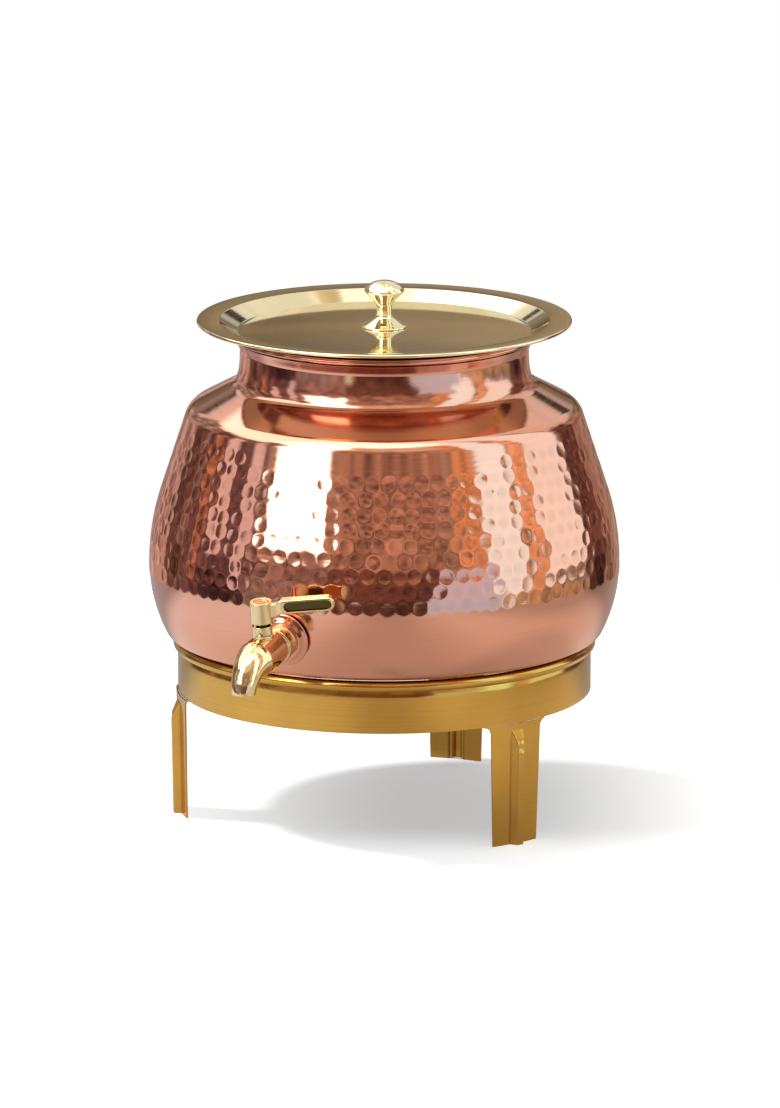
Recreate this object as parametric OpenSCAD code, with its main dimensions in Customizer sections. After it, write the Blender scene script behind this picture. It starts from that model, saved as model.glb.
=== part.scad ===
// Copper water dispenser: a hammered pot with lid and lever tap on a three-legged brass stand.
// Origin on the pot's axis at ground level, +Z up, the tap points along -Y.

/* [Stand] */
// Distance of the band inside the pot's largest diameter, on each side
band_set_in = 18.3; // [14:0.1:24]
// Thickness of the brass sheet
stand_sheet = 1.2; // [0.8:0.1:1.8]
// Height of the legs, from the ground to the band's lower edge
leg_h = 79.5; // [50:0.5:110]
// Height of the band, from its lower edge to the middle of the bead
band_h = 31; // [24:0.5:45]
// Diameter of the rolled bead
bead_d = 7.2; // [6:0.2:9]
// Width of a leg at the band
leg_top_w = 40.5; // [32:0.5:46]
// Width of a leg at its foot
leg_foot_w = 36; // [30:1:42]
// Inward lean of the legs in degrees
leg_lean = 1; // [0:0.5:3]
// Radius of the fillet between leg and band
leg_fillet = 5; // [2:0.5:8]
// Width of a leg's rib at its base
rib_base_w = 10.6; // [9:0.2:14]
// Width of a leg's rib at its crest
rib_crest_w = 4.8; // [4:0.2:7]
// Height of a leg's rib
rib_h = 6; // [4:0.5:8]
// Height of the sloped upper end of a rib
rib_ramp = 12; // [8:0.5:16]
// Distance of a rib's upper end from the band's lower edge
rib_gap = 1.5; // [1:0.5:6]
// Turn of the stand under the pot in degrees
stand_turn = 4; // [-15:0.5:15]

/* [Pot] */
// Largest diameter of the pot
belly_d = 305.6; // [298:0.4:312]
// Height of the largest diameter above the bead's middle
belly_rise = 53; // [50:0.5:58]
// Thickness of the copper sheet
pot_wall = 1; // [0.8:0.1:1.2]
// Radius of the bulging bottom
bottom_r = 640; // [500:10:900]
// Radius of the corner between bottom and side
bottom_corner_r = 9; // [6:0.5:12]
// Radius of the side below the largest diameter, seen from the side
lower_side_r = 97; // [90:1:104]
// Radius of the side above the largest diameter, seen from the side
upper_side_r = 155; // [140:1:170]
// Inward lean of the upper side in degrees
side_lean = 18.2; // [16:0.1:22]
// Diameter at the shoulder's corner
shoulder_d = 254.4; // [246:0.1:258]
// Slope of the shoulder in degrees
shoulder_slope = 28; // [22:0.5:34]
// Radius of the shoulder's corner
shoulder_round = 6; // [3:0.5:9]
// Diameter of the neck
neck_d = 187; // [180:0.5:192]
// Radius at the foot of the neck
neck_foot_round = 4; // [2:0.5:6]
// Height of the neck up to its flare
neck_h = 20; // [14:0.5:30]
// Radius of the flare under the lip
flare_r = 21; // [16:0.5:26]
// Lean of the flare at its end in degrees
flare_angle = 27; // [22:1:32]
// Diameter of the rolled lip
lip_d = 3.8; // [3.4:0.1:4.6]

/* [Lid] */
// Distance that the lid reaches beyond the neck, on each side
lid_overhang = 27.9; // [24:0.1:32]
// Width of the flat rim
lid_rim_w = 14.5; // [12:0.5:18]
// Rise of the rim towards its edge in degrees
lid_rim_rise = 3; // [0:0.5:5]
// Depth of the sunk floor below the rim
lid_depth = 6.8; // [6.4:0.2:9]
// Slope of the wall between rim and floor in degrees
lid_wall_slope = 30; // [27:1:34]
// Rise of the floor towards the knob
lid_crown = 2; // [1:0.5:4]
// Thickness of the lid's sheet
lid_sheet = 0.9; // [0.7:0.1:1.2]
// Thickness of the hemmed edge
lid_hem = 2.2; // [1.8:0.1:3]
// Diameter of the knob's foot
knob_foot_d = 29.7; // [24:0.1:36]
// Diameter of the knob's waist
knob_waist_d = 10; // [8.4:0.2:12]
// Diameter of the knob's head
knob_head_d = 26.1; // [20:0.1:32]
// Height of the knob
knob_h = 30.7; // [26:0.1:36]
// Thread diameter of the knob's screw
knob_screw_d = 3; // [2.5:0.5:3.5]
// Length of the knob's screw below its head
knob_screw_l = 12; // [8:1:16]

/* [Tap] */
// Height of the tap's hole below the largest diameter
tap_drop = 20.8; // [18:0.1:24]
// Downward tilt of the tap in degrees
tap_tilt = 9; // [7:0.5:12]
// Thread diameter of the tail
tail_d = 16.6; // [15:0.2:18]
// Length of the tail inside the pot
tail_l = 14; // [13:0.5:20]
// Diameter of the waterway
water_d = 8; // [7:0.2:9]
// Diameter of the flange
flange_d = 34.7; // [32:0.1:38]
// Thickness of the flange
flange_t = 4; // [3.2:0.1:4.6]
// Diameter of the collar
collar_d = 23; // [22:0.2:26]
// Length of the collar
collar_l = 10.4; // [7:0.2:12]
// Diameter of the body
tap_d = 20.8; // [20:0.2:22]
// Distance of the valve's axis from the pot wall
valve_reach = 29.7; // [28:0.1:33]
// Distance of the spout's bend from the valve's axis
bend_start = 13.7; // [12:0.1:16]
// Bend radius of the spout's middle line
bend_r = 19.8; // [18:0.1:24]
// Angle of the spout's bend
bend_angle = 79; // [70:1:82]
// Largest diameter of the spout, at its root
horn_d = 24.4; // [23:0.1:25.4]
// Height of the spout's middle line above the tap's axis
horn_up = 1.5; // [1:0.1:2]
// Outer diameter of the outlet
outlet_d = 15.2; // [14:0.1:16.4]
// Inner diameter of the outlet
outlet_bore_d = 10; // [9:0.2:10.6]
// Depth of the wider bore in the outlet
outlet_bore_l = 8; // [5:0.5:10]

/* [Valve] */
// Diameter of the bonnet
bonnet_d = 12.8; // [12.4:0.1:14]
// Height of the bonnet above its seal
bonnet_h = 5.9; // [5.2:0.1:8]
// Height of the bonnet's seat above the spout's crown
boss_rise = 0.4; // [0.3:0.1:1.2]
// Diameter of the plug
plug_d = 9.8; // [9.4:0.1:10.2]
// Diameter of the plug's port
port_d = 5.5; // [4.5:0.1:6]
// Diameter of the stem
stem_d = 6; // [5.6:0.1:6.4]
// Width across the flats of the stem's square end
drive_w = 4.2; // [3.8:0.1:4.4]
// Diameter of the stop pin
stop_pin_d = 2; // [1.6:0.1:2.2]
// Place of the stop pin around the stem in degrees
stop_pin_turn = -114; // [-120:1:-108]
// Turn of the lever from closed to open in degrees
lever_travel = 90; // [60:1:92]

/* [Lever] */
// Diameter of the hub
hub_d = 14.2; // [13.6:0.1:16]
// Height of the hub
hub_h = 15.8; // [14:0.1:18]
// Length of the lever from the stem's axis to its tip
lever_l = 47.7; // [42:0.1:56]
// Height of the lever
lever_h = 9.4; // [8:0.1:10]
// Thickness of the lever's paddle
paddle_t = 7.2; // [6:0.1:8]
// Thickness of the lever's neck
lever_neck_t = 5.6; // [4.6:0.1:6]
// Distance of the paddle from the stem's axis
paddle_start = 13; // [12:0.5:15]
// Height of the pocket in the paddle
pocket_h = 6.6; // [5:0.1:7]
// Depth of the pocket in the paddle
pocket_depth = 2; // [1:0.1:2.4]
// Height of the paddle above the lever's neck
paddle_step = 2.2; // [0:0.1:3]
// Upward lean of the lever in degrees
lever_rise = 3; // [0:0.5:6]
// Turn of the closed lever towards the pot in degrees
lever_turn = 18; // [10:1:22]

/* [Fits] */
// Gap between pieces that lift off or turn against each other
lift_gap = 0.3; // [0.25:0.05:0.5]
// Gap between pieces that are fixed together
fit_gap = 0.05; // [0.03:0.01:0.1]
// Gap around the plug and the stem
running_gap = 0.05; // [0.03:0.01:0.08]

/* [Hidden] */
$fn = 96;
far = 400;

copper = [0.72, 0.40, 0.28];
brass = [0.80, 0.66, 0.38];
steel = [0.62, 0.62, 0.64];
rubber = [0.10, 0.10, 0.10];
slip_white = [0.88, 0.87, 0.84];

// Curves: unit normal, arc, fillet between two lines with given normals, and cubic curve
function unit(a) = [cos(a), sin(a)];
function arc(c, r, a0, a1, n) = [for (i = [0:n]) c + r * unit(a0 + (a1 - a0) * i / n)];
function corner_mid(k, a0, a1, r) = k - r * (unit(a0) + unit(a1)) / (1 + cos(a1 - a0));
function outer_corner(k, a0, a1, r, t, n) = arc(corner_mid(k, a0, a1, r), r - t, a0, a1, n);
function inner_corner(k, a0, a1, r, t, n) = arc(corner_mid(k, a0, a1, -r), -r - t, a0, a1, n);
function reversed(v) = [for (i = [len(v) - 1:-1:0]) v[i]];
function cubic(a, b, c, d, n) = [for (i = [0:n]) let (u = i / n, w = 1 - u)
  w * w * w * a + 3 * w * w * u * b + 3 * w * u * u * c + u * u * u * d];

// Stand
belly_r = belly_d / 2;
stand_r = belly_r - band_set_in;
bead_r = bead_d / 2;
bead_mid = [stand_r - stand_sheet / 2, leg_h + band_h];
foot_r = stand_r - leg_h * tan(leg_lean);
leg_count = 3;
leg_lap = 0.5;
lap_in = 0.02;
seam_w = 0.5;

// Pot, its outline from the bottom's middle up to the lip, drawn in by t
bottom_reach = bottom_r + bead_r + lift_gap;
bottom_mid = [0, bead_mid[1] + sqrt(bottom_reach * bottom_reach - bead_mid[0] * bead_mid[0])];
belly_z = bead_mid[1] + belly_rise;
lower_mid = [belly_r - lower_side_r, belly_z];
upper_mid = [belly_r - upper_side_r, belly_z];
gap_line = lower_mid - bottom_mid;
gap_l = norm(gap_line);
from_bottom = bottom_r - bottom_corner_r;
from_lower = lower_side_r - bottom_corner_r;
along_l = (from_bottom * from_bottom - from_lower * from_lower + gap_l * gap_l) / (2 * gap_l);
beside_l = sqrt(from_bottom * from_bottom - along_l * along_l);
gap_dir = gap_line / gap_l;
bottom_corner_mid = bottom_mid + along_l * gap_dir + beside_l * [-gap_dir[1], gap_dir[0]];
bottom_end = bottom_corner_mid - bottom_mid;
bottom_end_a = atan2(bottom_end[1], bottom_end[0]);
corner_end = bottom_corner_mid - lower_mid;
corner_end_a = atan2(corner_end[1], corner_end[0]);
upper_end = upper_mid + upper_side_r * unit(side_lean);
shoulder_r = shoulder_d / 2;
shoulder_corner = [shoulder_r, upper_end[1] + (upper_end[0] - shoulder_r) / tan(side_lean)];
shoulder_a = 90 - shoulder_slope;
neck_r = neck_d / 2;
neck_foot = [neck_r, shoulder_corner[1] + (shoulder_r - neck_r) * tan(shoulder_slope)];
flare_z = neck_foot[1] + neck_h;
flare_mid = [neck_r + flare_r, flare_z];
lip_r = lip_d / 2;
lip_mid = flare_mid - (flare_r - lip_r + pot_wall) * unit(-flare_angle);

function bottom_line(t) = concat(
  arc(bottom_mid, bottom_r - t, -90, bottom_end_a, 6),
  arc(bottom_corner_mid, bottom_corner_r - t, bottom_end_a, corner_end_a, 6));
function side_line(t) = concat(
  arc(lower_mid, lower_side_r - t, corner_end_a, 0, 10),
  arc(upper_mid, upper_side_r - t, 0, side_lean, 8));
function top_line(t) = concat(
  outer_corner(shoulder_corner, side_lean, shoulder_a, shoulder_round, t, 5),
  inner_corner(neck_foot, shoulder_a, 0, neck_foot_round, t, 5),
  arc(flare_mid, -flare_r - t, 0, -flare_angle, 6));
function pot_line(t) = concat(bottom_line(t), side_line(t), top_line(t));

// Lid, its upper outline from the middle to the rim, drawn in by t
lid_r = neck_r + lid_overhang;
rim_in_r = lid_r - lid_rim_w;
seat_reach = lip_r + lift_gap + lid_sheet;
rim_z = lip_mid[1]
  + (seat_reach + (rim_in_r - lip_mid[0]) * sin(lid_wall_slope)) / cos(lid_wall_slope);
floor_r = rim_in_r - lid_depth / tan(lid_wall_slope);
floor_z = rim_z - lid_depth;
crown_r = (floor_r * floor_r + lid_crown * lid_crown) / (2 * lid_crown);
crown_mid = [0, floor_z + lid_crown - crown_r];
floor_a = acos(floor_r / crown_r);
wall_a = 90 + lid_wall_slope;
lid_bend_r = 1.5;
hem_r = lid_hem / 2;
rim_a = 90 + lid_rim_rise;
hem_mid = [lid_r - hem_r, rim_z + (lid_rim_w - hem_r) * tan(lid_rim_rise) - hem_r / cos(lid_rim_rise)];
hem_a = asin((hem_r - lid_sheet) / hem_r);
knob_z = floor_z + lid_crown;
knob_hole_r = knob_screw_d / 2 + 0.2;
floor_margin = 2;
function lid_line(t) = concat(
  arc(crown_mid, crown_r - t, acos(knob_hole_r / crown_r), acos((floor_r - floor_margin) / crown_r), 6),
  inner_corner([floor_r, floor_z], floor_a, wall_a, lid_bend_r, t, 4),
  outer_corner([rim_in_r, rim_z], wall_a, rim_a, lid_bend_r, t, 4));
knob_washer_t = 0.8;
knob_washer_r = 5;
under_knob = knob_z - lid_sheet - fit_gap;

// Tap
tap_z = belly_z - tap_drop;
tap_r = lower_mid[0] + sqrt(lower_side_r * lower_side_r - tap_drop * tap_drop);
tail_r = tail_d / 2;
outer_seal_t = 1;
outer_seal_r = flange_d / 2 - 2.8;
inner_seal_t = 3;
inner_seal_r = tail_r + 5;
washer_t = 1.2;
washer_r = inner_seal_r + 0.5;
nut_t = 6;
nut_flats = tail_d + 6.4;
flange_front = outer_seal_t + flange_t;
collar_front = flange_front + collar_l;
bend_s = valve_reach + bend_start;
body_r = tap_d / 2;
outlet_r = outlet_d / 2;
inner_flat = pot_wall + inner_seal_t;
edge = 0.8;
horn_r = horn_d / 2;
horn_round = 2;
horn_back = valve_reach - 7.5;
hole_r = tail_r + lift_gap;

// Valve, heights above the tap's axis
boss_top = horn_up + horn_r + boss_rise;
boss_r = bonnet_d / 2 + 0.4;
bonnet_seal_t = 0.6;
bonnet_r = bonnet_d / 2;
bonnet_base = boss_top + bonnet_seal_t;
bonnet_top = bonnet_base + bonnet_h;
plug_r = plug_d / 2;
plug_top = port_d / 2 + 2.1;
plug_bottom = -port_d / 2 - 2.9;
plug_bore_r = plug_r + running_gap;
thrust_t = 0.6;
spigot_bottom = plug_top + thrust_t + 2 * running_gap;
spigot_r = plug_bore_r + 0.6;
stem_r = stem_d / 2;
stem_seal_r = 0.5;
stem_bore_r = stem_r + running_gap;
packing_r = stem_bore_r + 2 * stem_seal_r + fit_gap;
packing_top = bonnet_top - 2.5;
hub_base = bonnet_top + lift_gap;
hub_top = hub_base + hub_h;
hub_r = hub_d / 2;
slit_h = 1.6;
stop_pin_r = stop_pin_d / 2;
stop_pin_at = bonnet_r - 0.7;
stop_pin_bottom = bonnet_top - 4.2;
stop_half = asin((stop_pin_r + lift_gap) / stop_pin_at);
recess_depth = 1.6;
recess_r = hub_r - 2.4;
drive_base = hub_base + 5;
drive_top = hub_top - recess_depth - 0.6;
screw_r = 1.5;
screw_head_r = 3.4;
screw_head_h = 1.2;
screw_l = 8;
lever_mid = hub_base + hub_h * 0.73;
neck_taper = 3;
pocket_margin = 2;
pocket_l = lever_l - paddle_start - 2 * pocket_margin;

module tap_place() {
  translate([0, -tap_r, tap_z]) rotate([tap_tilt, 0, 0]) children();
}

// Turns an upright solid so that its +Z points out of the pot along the tap
module outward() {
  rotate([90, 0, 0]) children();
}

module valve_place() {
  tap_place() translate([0, -valve_reach, 0]) children();
}

module ring(r_out, r_in, h) {
  difference() {
    cylinder(r = r_out, h = h);
    translate([0, 0, -1]) cylinder(r = r_in, h = h + 2);
  }
}

// Rolled edge: a tube cut open along a seam that points in the given direction
module rolled_edge(r, sheet, seam_a) {
  difference() {
    circle(r = r);
    circle(r = r - sheet);
    rotate(seam_a) translate([0, -seam_w / 2]) square([r + 1, seam_w]);
  }
}

// Pot's side as a solid, drawn in by t
module side_solid(t) {
  line = side_line(t);
  rotate_extrude($fn = 360) polygon(concat(line, [[0, line[len(line) - 1][1]], [0, line[0][1]]]));
}

module leg_outline() {
  edge_a = -atan((leg_top_w - leg_foot_w) / 2 / leg_h);
  bend = inner_corner([leg_top_w / 2, leg_h], edge_a, -90, leg_fillet, 0, 6);
  right = concat([[leg_foot_w / 2, 0]], bend, [[bend[6][0], leg_h + leg_lap]]);
  polygon(concat(right, reversed([for (p = right) [-p[0], p[1]]])));
}

// Rib of a leg as a solid, drawn in by t on all sides
module rib_solid(t) {
  flank = (rib_base_w - rib_crest_w) / 2 / rib_h;
  flank_in = t * sqrt(1 + flank * flank);
  ramp = rib_ramp / rib_h;
  ramp_in = t * sqrt(1 + ramp * ramp);
  low_x = -stand_sheet - t;
  low_half = rib_base_w / 2 - flank * low_x - flank_in;
  high_x = rib_h - t;
  high_half = rib_base_w / 2 - flank * high_x - flank_in;
  top = leg_h - rib_gap - ramp_in;
  intersection() {
    translate([0, 0, -1]) linear_extrude(height = leg_h + 1)
      polygon([[low_x, -low_half], [high_x, -high_half], [high_x, high_half], [low_x, low_half]]);
    rotate([90, 0, 0]) linear_extrude(height = 2 * rib_base_w, center = true)
      polygon([[2 * low_x, -2], [2 * rib_h, -2], [2 * rib_h, top - 2 * rib_h * ramp],
        [2 * low_x, top - 2 * low_x * ramp]]);
  }
}

module leg() {
  difference() {
    union() {
      intersection() {
        rotate_extrude() polygon([[foot_r - stand_sheet, 0], [foot_r, 0],
          [stand_r - lap_in, leg_h + leg_lap], [stand_r - stand_sheet + lap_in, leg_h + leg_lap]]);
        rotate([90, 0, 90]) linear_extrude(height = far) leg_outline();
      }
      rib_place() rib_solid(0);
    }
    rib_place() rib_solid(stand_sheet);
    translate([0, -leg_top_w, -leg_h]) cube([far, 2 * leg_top_w, leg_h]);
  }
}

module rib_place() {
  translate([foot_r, 0, 0]) rotate([0, leg_lean, 0]) children();
}

module stand_ring() {
  color(brass) rotate(stand_turn) {
    rotate_extrude() {
      translate([stand_r - stand_sheet, leg_h]) square([stand_sheet, band_h - bead_r + stand_sheet / 2]);
      translate(bead_mid) rolled_edge(bead_r, stand_sheet, 225);
    }
    for (i = [0:leg_count - 1]) rotate(90 + i * 360 / leg_count) leg();
  }
}

module stand_rim_wire() {
  color(steel) rotate_extrude() translate(bead_mid) circle(r = bead_r - stand_sheet - fit_gap);
}

module pot_body() {
  color(copper) difference() {
    rotate_extrude() {
      polygon(concat(pot_line(0), reversed(pot_line(pot_wall))));
      translate(lip_mid) rolled_edge(lip_r, pot_wall, 255);
    }
    tap_place() outward() translate([0, 0, -tail_l]) cylinder(r = hole_r, h = 2 * tail_l);
  }
}

module pot_rim_wire() {
  color(steel) rotate_extrude() translate(lip_mid) circle(r = lip_r - pot_wall - fit_gap);
}

// Tapered spout: rings of points with a rounded back end, a straight root and a bend
module spout() {
  back_rings = 3;
  rings = 16;
  sides = 36;
  taper = 1.2;
  back = [for (i = [0:back_rings]) let (a = 90 * i / back_rings)
    [horn_r - horn_round * (1 - sin(a)), horn_back + horn_round * (1 - cos(a))]];
  root = [for (p = back, j = [0:sides - 1]) let (b = 360 * j / sides)
    [p[0] * sin(b), -p[1], horn_up + p[0] * cos(b)]];
  bend = [for (i = [0:rings], j = [0:sides - 1])
    let (a = bend_angle * i / rings, r = outlet_r + (horn_r - outlet_r) * pow(1 - i / rings, taper),
      b = 360 * j / sides, reach = bend_r + r * cos(b))
    [r * sin(b), -bend_s - reach * sin(a), horn_up + reach * cos(a) - bend_r]];
  last_ring = back_rings + 1 + rings;
  walls = [for (i = [0:last_ring - 1], j = [0:sides - 1], k = [0, 1])
    let (a = i * sides + j, b = i * sides + (j + 1) % sides)
    k == 0 ? [a, b, b + sides] : [a, b + sides, a + sides]];
  first = [for (j = [sides - 1:-1:0]) j];
  last = [for (j = [0:sides - 1]) last_ring * sides + j];
  polyhedron(concat(root, bend), concat(walls, [first, last]));
}

// Solid at the end of the spout, its +Z along the bend's end
module outlet_place() {
  translate([0, -bend_s - bend_r * sin(bend_angle), horn_up + bend_r * cos(bend_angle) - bend_r])
    rotate([90 + bend_angle, 0, 0]) children();
}

module waterway() {
  outward() translate([0, 0, -tail_l - 1]) cylinder(d = water_d, h = tail_l + 1 + bend_s);
  translate([0, -bend_s, horn_up - bend_r]) rotate([0, -90, 180]) rotate_extrude(angle = bend_angle)
    translate([bend_r - horn_up, 0]) circle(d = water_d);
  outlet_place() translate([0, 0, -outlet_bore_l]) cylinder(d = outlet_bore_d, h = outlet_bore_l + 1);
}

module tap_body() {
  color(brass) tap_place() difference() {
    union() {
      outward() rotate_extrude() polygon([[0, -tail_l], [tail_r - edge, -tail_l],
        [tail_r, edge - tail_l], [tail_r, flange_front], [collar_d / 2 - edge, flange_front],
        [collar_d / 2, flange_front + edge], [collar_d / 2, collar_front - edge],
        [collar_d / 2 - edge, collar_front], [body_r, collar_front], [body_r, valve_reach], [0, valve_reach]]);
      translate([0, -valve_reach, 0]) cylinder(r = boss_r, h = boss_top);
      spout();
    }
    waterway();
    translate([0, -valve_reach, plug_bottom - lift_gap]) cylinder(r = plug_bore_r, h = 2 * horn_r);
    translate([0, -valve_reach, spigot_bottom]) cylinder(r = spigot_r + fit_gap, h = 2 * horn_r);
  }
}

module tap_flange() {
  flange_r = flange_d / 2;
  top = flange_t - 2 * fit_gap;
  color(copper) tap_place() outward() translate([0, 0, outer_seal_t + fit_gap]) rotate_extrude()
    polygon([[tail_r + fit_gap, 0], [flange_r - edge, 0], [flange_r, edge], [flange_r, 2 * edge],
      [flange_r - edge, 2.5 * edge], [collar_d / 2 + 1, top], [tail_r + fit_gap, top]]);
}

module outer_seal() {
  color(rubber) difference() {
    tap_place() outward() translate([0, 0, outer_seal_t - outer_seal_r])
      ring(outer_seal_r, hole_r, outer_seal_r);
    side_solid(-fit_gap);
  }
}

module inner_seal() {
  color(rubber) intersection() {
    tap_place() outward() translate([0, 0, -inner_flat]) ring(inner_seal_r, hole_r, inner_seal_r);
    side_solid(pot_wall + fit_gap);
  }
}

module tap_washer() {
  color(brass) tap_place() outward() translate([0, 0, -inner_flat - fit_gap - washer_t])
    ring(washer_r, tail_r + lift_gap, washer_t);
}

module tap_nut() {
  nut_base = -inner_flat - washer_t - 2 * fit_gap - nut_t;
  color(brass) tap_place() outward() translate([0, 0, nut_base]) difference() {
    cylinder(d = nut_flats / cos(30), h = nut_t, $fn = 6);
    translate([0, 0, -1]) cylinder(r = tail_r + fit_gap, h = nut_t + 2);
  }
}

module bonnet() {
  color(brass) valve_place() difference() {
    union() {
      translate([0, 0, spigot_bottom]) cylinder(r = spigot_r, h = bonnet_base - spigot_bottom + edge);
      rotate_extrude() polygon([[0, bonnet_base], [bonnet_r, bonnet_base], [bonnet_r, bonnet_top],
        [0, bonnet_top]]);
    }
    translate([0, 0, spigot_bottom - 1]) cylinder(r = packing_r, h = packing_top - spigot_bottom + 1);
    translate([0, 0, spigot_bottom]) cylinder(r = stem_bore_r, h = bonnet_top);
    stop_pin_place() cylinder(r = stop_pin_r + fit_gap, h = hub_h);
  }
}

module bonnet_seal() {
  color(slip_white) valve_place() translate([0, 0, boss_top + fit_gap])
    ring(bonnet_r, spigot_r + fit_gap, bonnet_seal_t - 2 * fit_gap);
}

module thrust_ring() {
  color(slip_white) valve_place() translate([0, 0, spigot_bottom - fit_gap - thrust_t])
    ring(plug_r, stem_r + 2 * running_gap, thrust_t);
}

module stem_seals() {
  color(rubber) valve_place() for (i = [0, 1]) {
    translate([0, 0, packing_top - stem_seal_r - fit_gap - i * (2 * stem_seal_r + 0.4)])
      rotate_extrude() translate([stem_bore_r + stem_seal_r, 0]) circle(r = stem_seal_r);
  }
}

module stop_pin_place() {
  rotate(stop_pin_turn) translate([stop_pin_at, 0, stop_pin_bottom]) children();
}

module stop_pin() {
  color(brass) valve_place() stop_pin_place()
    cylinder(r = stop_pin_r, h = hub_base + slit_h - lift_gap - stop_pin_bottom);
}

module valve_plug() {
  color(brass) valve_place() difference() {
    union() {
      translate([0, 0, plug_bottom]) cylinder(r = plug_r, h = plug_top - plug_bottom);
      translate([0, 0, plug_bottom]) cylinder(r = stem_r, h = drive_base - plug_bottom);
      translate([-drive_w / 2, -drive_w / 2, plug_top]) cube([drive_w, drive_w, drive_top - plug_top]);
    }
    rotate([0, 90, 0]) translate([0, 0, -2 * plug_r]) cylinder(d = port_d, h = 4 * plug_r);
    translate([0, 0, drive_top - screw_l]) cylinder(r = screw_r + fit_gap, h = screw_l + 1);
  }
}

module lever_bar() {
  mid = lever_h / 2;
  half = [[0, -lever_neck_t / 2], [paddle_start - neck_taper, -lever_neck_t / 2],
    [paddle_start, -paddle_t / 2], [lever_l - paddle_t / 2, -paddle_t / 2]];
  lower = [[0, -mid - paddle_step], [hub_r, -mid - paddle_step], [paddle_start + neck_taper, -mid],
    [lever_l - mid, -mid]];
  upper = [[lever_l - mid, mid], [paddle_start, mid], [hub_r, mid - paddle_step], [0, mid - paddle_step]];
  intersection() {
    translate([0, 0, lever_mid]) rotate([90, -lever_rise, 0])
      linear_extrude(height = hub_d, center = true) {
        polygon(concat(lower, upper));
        translate([lever_l - mid, 0]) circle(r = mid);
      }
    linear_extrude(height = 2 * hub_top) {
      polygon(concat(half, reversed([for (p = half) [p[0], -p[1]]])));
      translate([lever_l - paddle_t / 2, 0]) circle(d = paddle_t);
    }
  }
}

module pocket() {
  mid = pocket_h / 2;
  for (side = [-1, 1]) {
    translate([0, side * paddle_t / 2, lever_mid]) rotate([90, -lever_rise, 0])
      linear_extrude(height = 2 * pocket_depth, center = true) translate([paddle_start + pocket_margin, 0]) {
        translate([mid, -mid]) square([pocket_l - pocket_h, pocket_h]);
        translate([mid, 0]) circle(r = mid);
        translate([pocket_l - mid, 0]) circle(r = mid);
      }
  }
}

// Room for the stop pin in the hub's lower edge
module stop_slit() {
  low = stop_pin_turn - stop_half;
  high = stop_pin_turn + lever_travel + stop_half;
  intersection() {
    translate([0, 0, hub_base - 1]) ring(2 * hub_r, stop_pin_at - stop_pin_r - lift_gap, slit_h + 1);
    linear_extrude(height = hub_top)
      polygon(concat([[0, 0]], [for (a = [low, (low + high) / 2, high]) 4 * hub_r * unit(a)]));
  }
}

module lever_handle() {
  square_w = drive_w + 2 * fit_gap;
  color(brass) valve_place() difference() {
    union() {
      rotate_extrude() polygon([[0, hub_base], [hub_r, hub_base], [hub_r, hub_top - edge],
        [hub_r - edge, hub_top], [0, hub_top]]);
      rotate(lever_turn) lever_bar();
    }
    rotate(lever_turn) pocket();
    stop_slit();
    translate([0, 0, hub_base - 1])
      cylinder(r = stem_r + fit_gap, h = drive_base - hub_base + 1 + fit_gap);
    translate([-square_w / 2, -square_w / 2, hub_base])
      cube([square_w, square_w, drive_top - hub_base + fit_gap]);
    translate([0, 0, hub_base]) cylinder(r = screw_r + fit_gap, h = hub_h);
    translate([0, 0, hub_top - recess_depth]) cylinder(r = recess_r, h = recess_depth + 1);
  }
}

module lever_screw() {
  head_base = hub_top - recess_depth + fit_gap;
  color(brass) valve_place() difference() {
    union() {
      translate([0, 0, head_base]) cylinder(r = screw_head_r, h = screw_head_h);
      translate([0, 0, drive_top - screw_l + edge])
        cylinder(r = screw_r, h = head_base - drive_top + screw_l);
    }
    translate([-screw_head_r - 1, -edge / 2, head_base + screw_head_h - edge])
      cube([2 * screw_head_r + 2, edge, 1]);
  }
}

module lid_plate() {
  hem = arc(hem_mid, hem_r, rim_a, lid_rim_rise - 180 - hem_a, 12);
  color(brass) rotate_extrude() polygon(concat(lid_line(0), hem, reversed(lid_line(lid_sheet))));
}

module lid_knob() {
  knob_r = knob_foot_d / 2;
  waist_r = knob_waist_d / 2;
  head_r = knob_head_d / 2;
  rim_h = 0.9;
  foot_h = knob_h * 0.25;
  waist_top = knob_h * 0.44;
  head_z = knob_h * 0.78;
  outline = concat([[0, 0], [knob_r - rim_h / 2, 0], [knob_r, rim_h / 2]],
    cubic([knob_r - rim_h / 2, rim_h], [knob_r * 0.62, foot_h * 0.5], [waist_r, foot_h * 0.75],
      [waist_r, foot_h], 8),
    cubic([waist_r, waist_top], [waist_r, knob_h * 0.53], [head_r * 0.72, knob_h * 0.64],
      [head_r * 0.94, head_z - edge], 8),
    cubic([head_r, head_z], [head_r * 0.97, knob_h * 0.87], [head_r * 0.5, knob_h], [0, knob_h], 10));
  color(brass) translate([0, 0, knob_z]) difference() {
    rotate_extrude() polygon(outline);
    translate([0, 0, -1]) cylinder(d = knob_screw_d + 2 * fit_gap, h = knob_screw_l + 1);
  }
}

module knob_washer() {
  color(steel) translate([0, 0, under_knob - knob_washer_t])
    ring(knob_washer_r, knob_hole_r, knob_washer_t);
}

module knob_screw() {
  head_h = 2.4;
  top = under_knob - knob_washer_t - fit_gap;
  color(steel) difference() {
    union() {
      translate([0, 0, top - head_h]) cylinder(r = knob_screw_d, h = head_h);
      translate([0, 0, top - edge]) cylinder(d = knob_screw_d, h = knob_screw_l + edge);
    }
    translate([-knob_screw_d - 1, -edge / 2, top - head_h - 1])
      cube([2 * knob_screw_d + 2, edge, 1 + edge]);
  }
}

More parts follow.
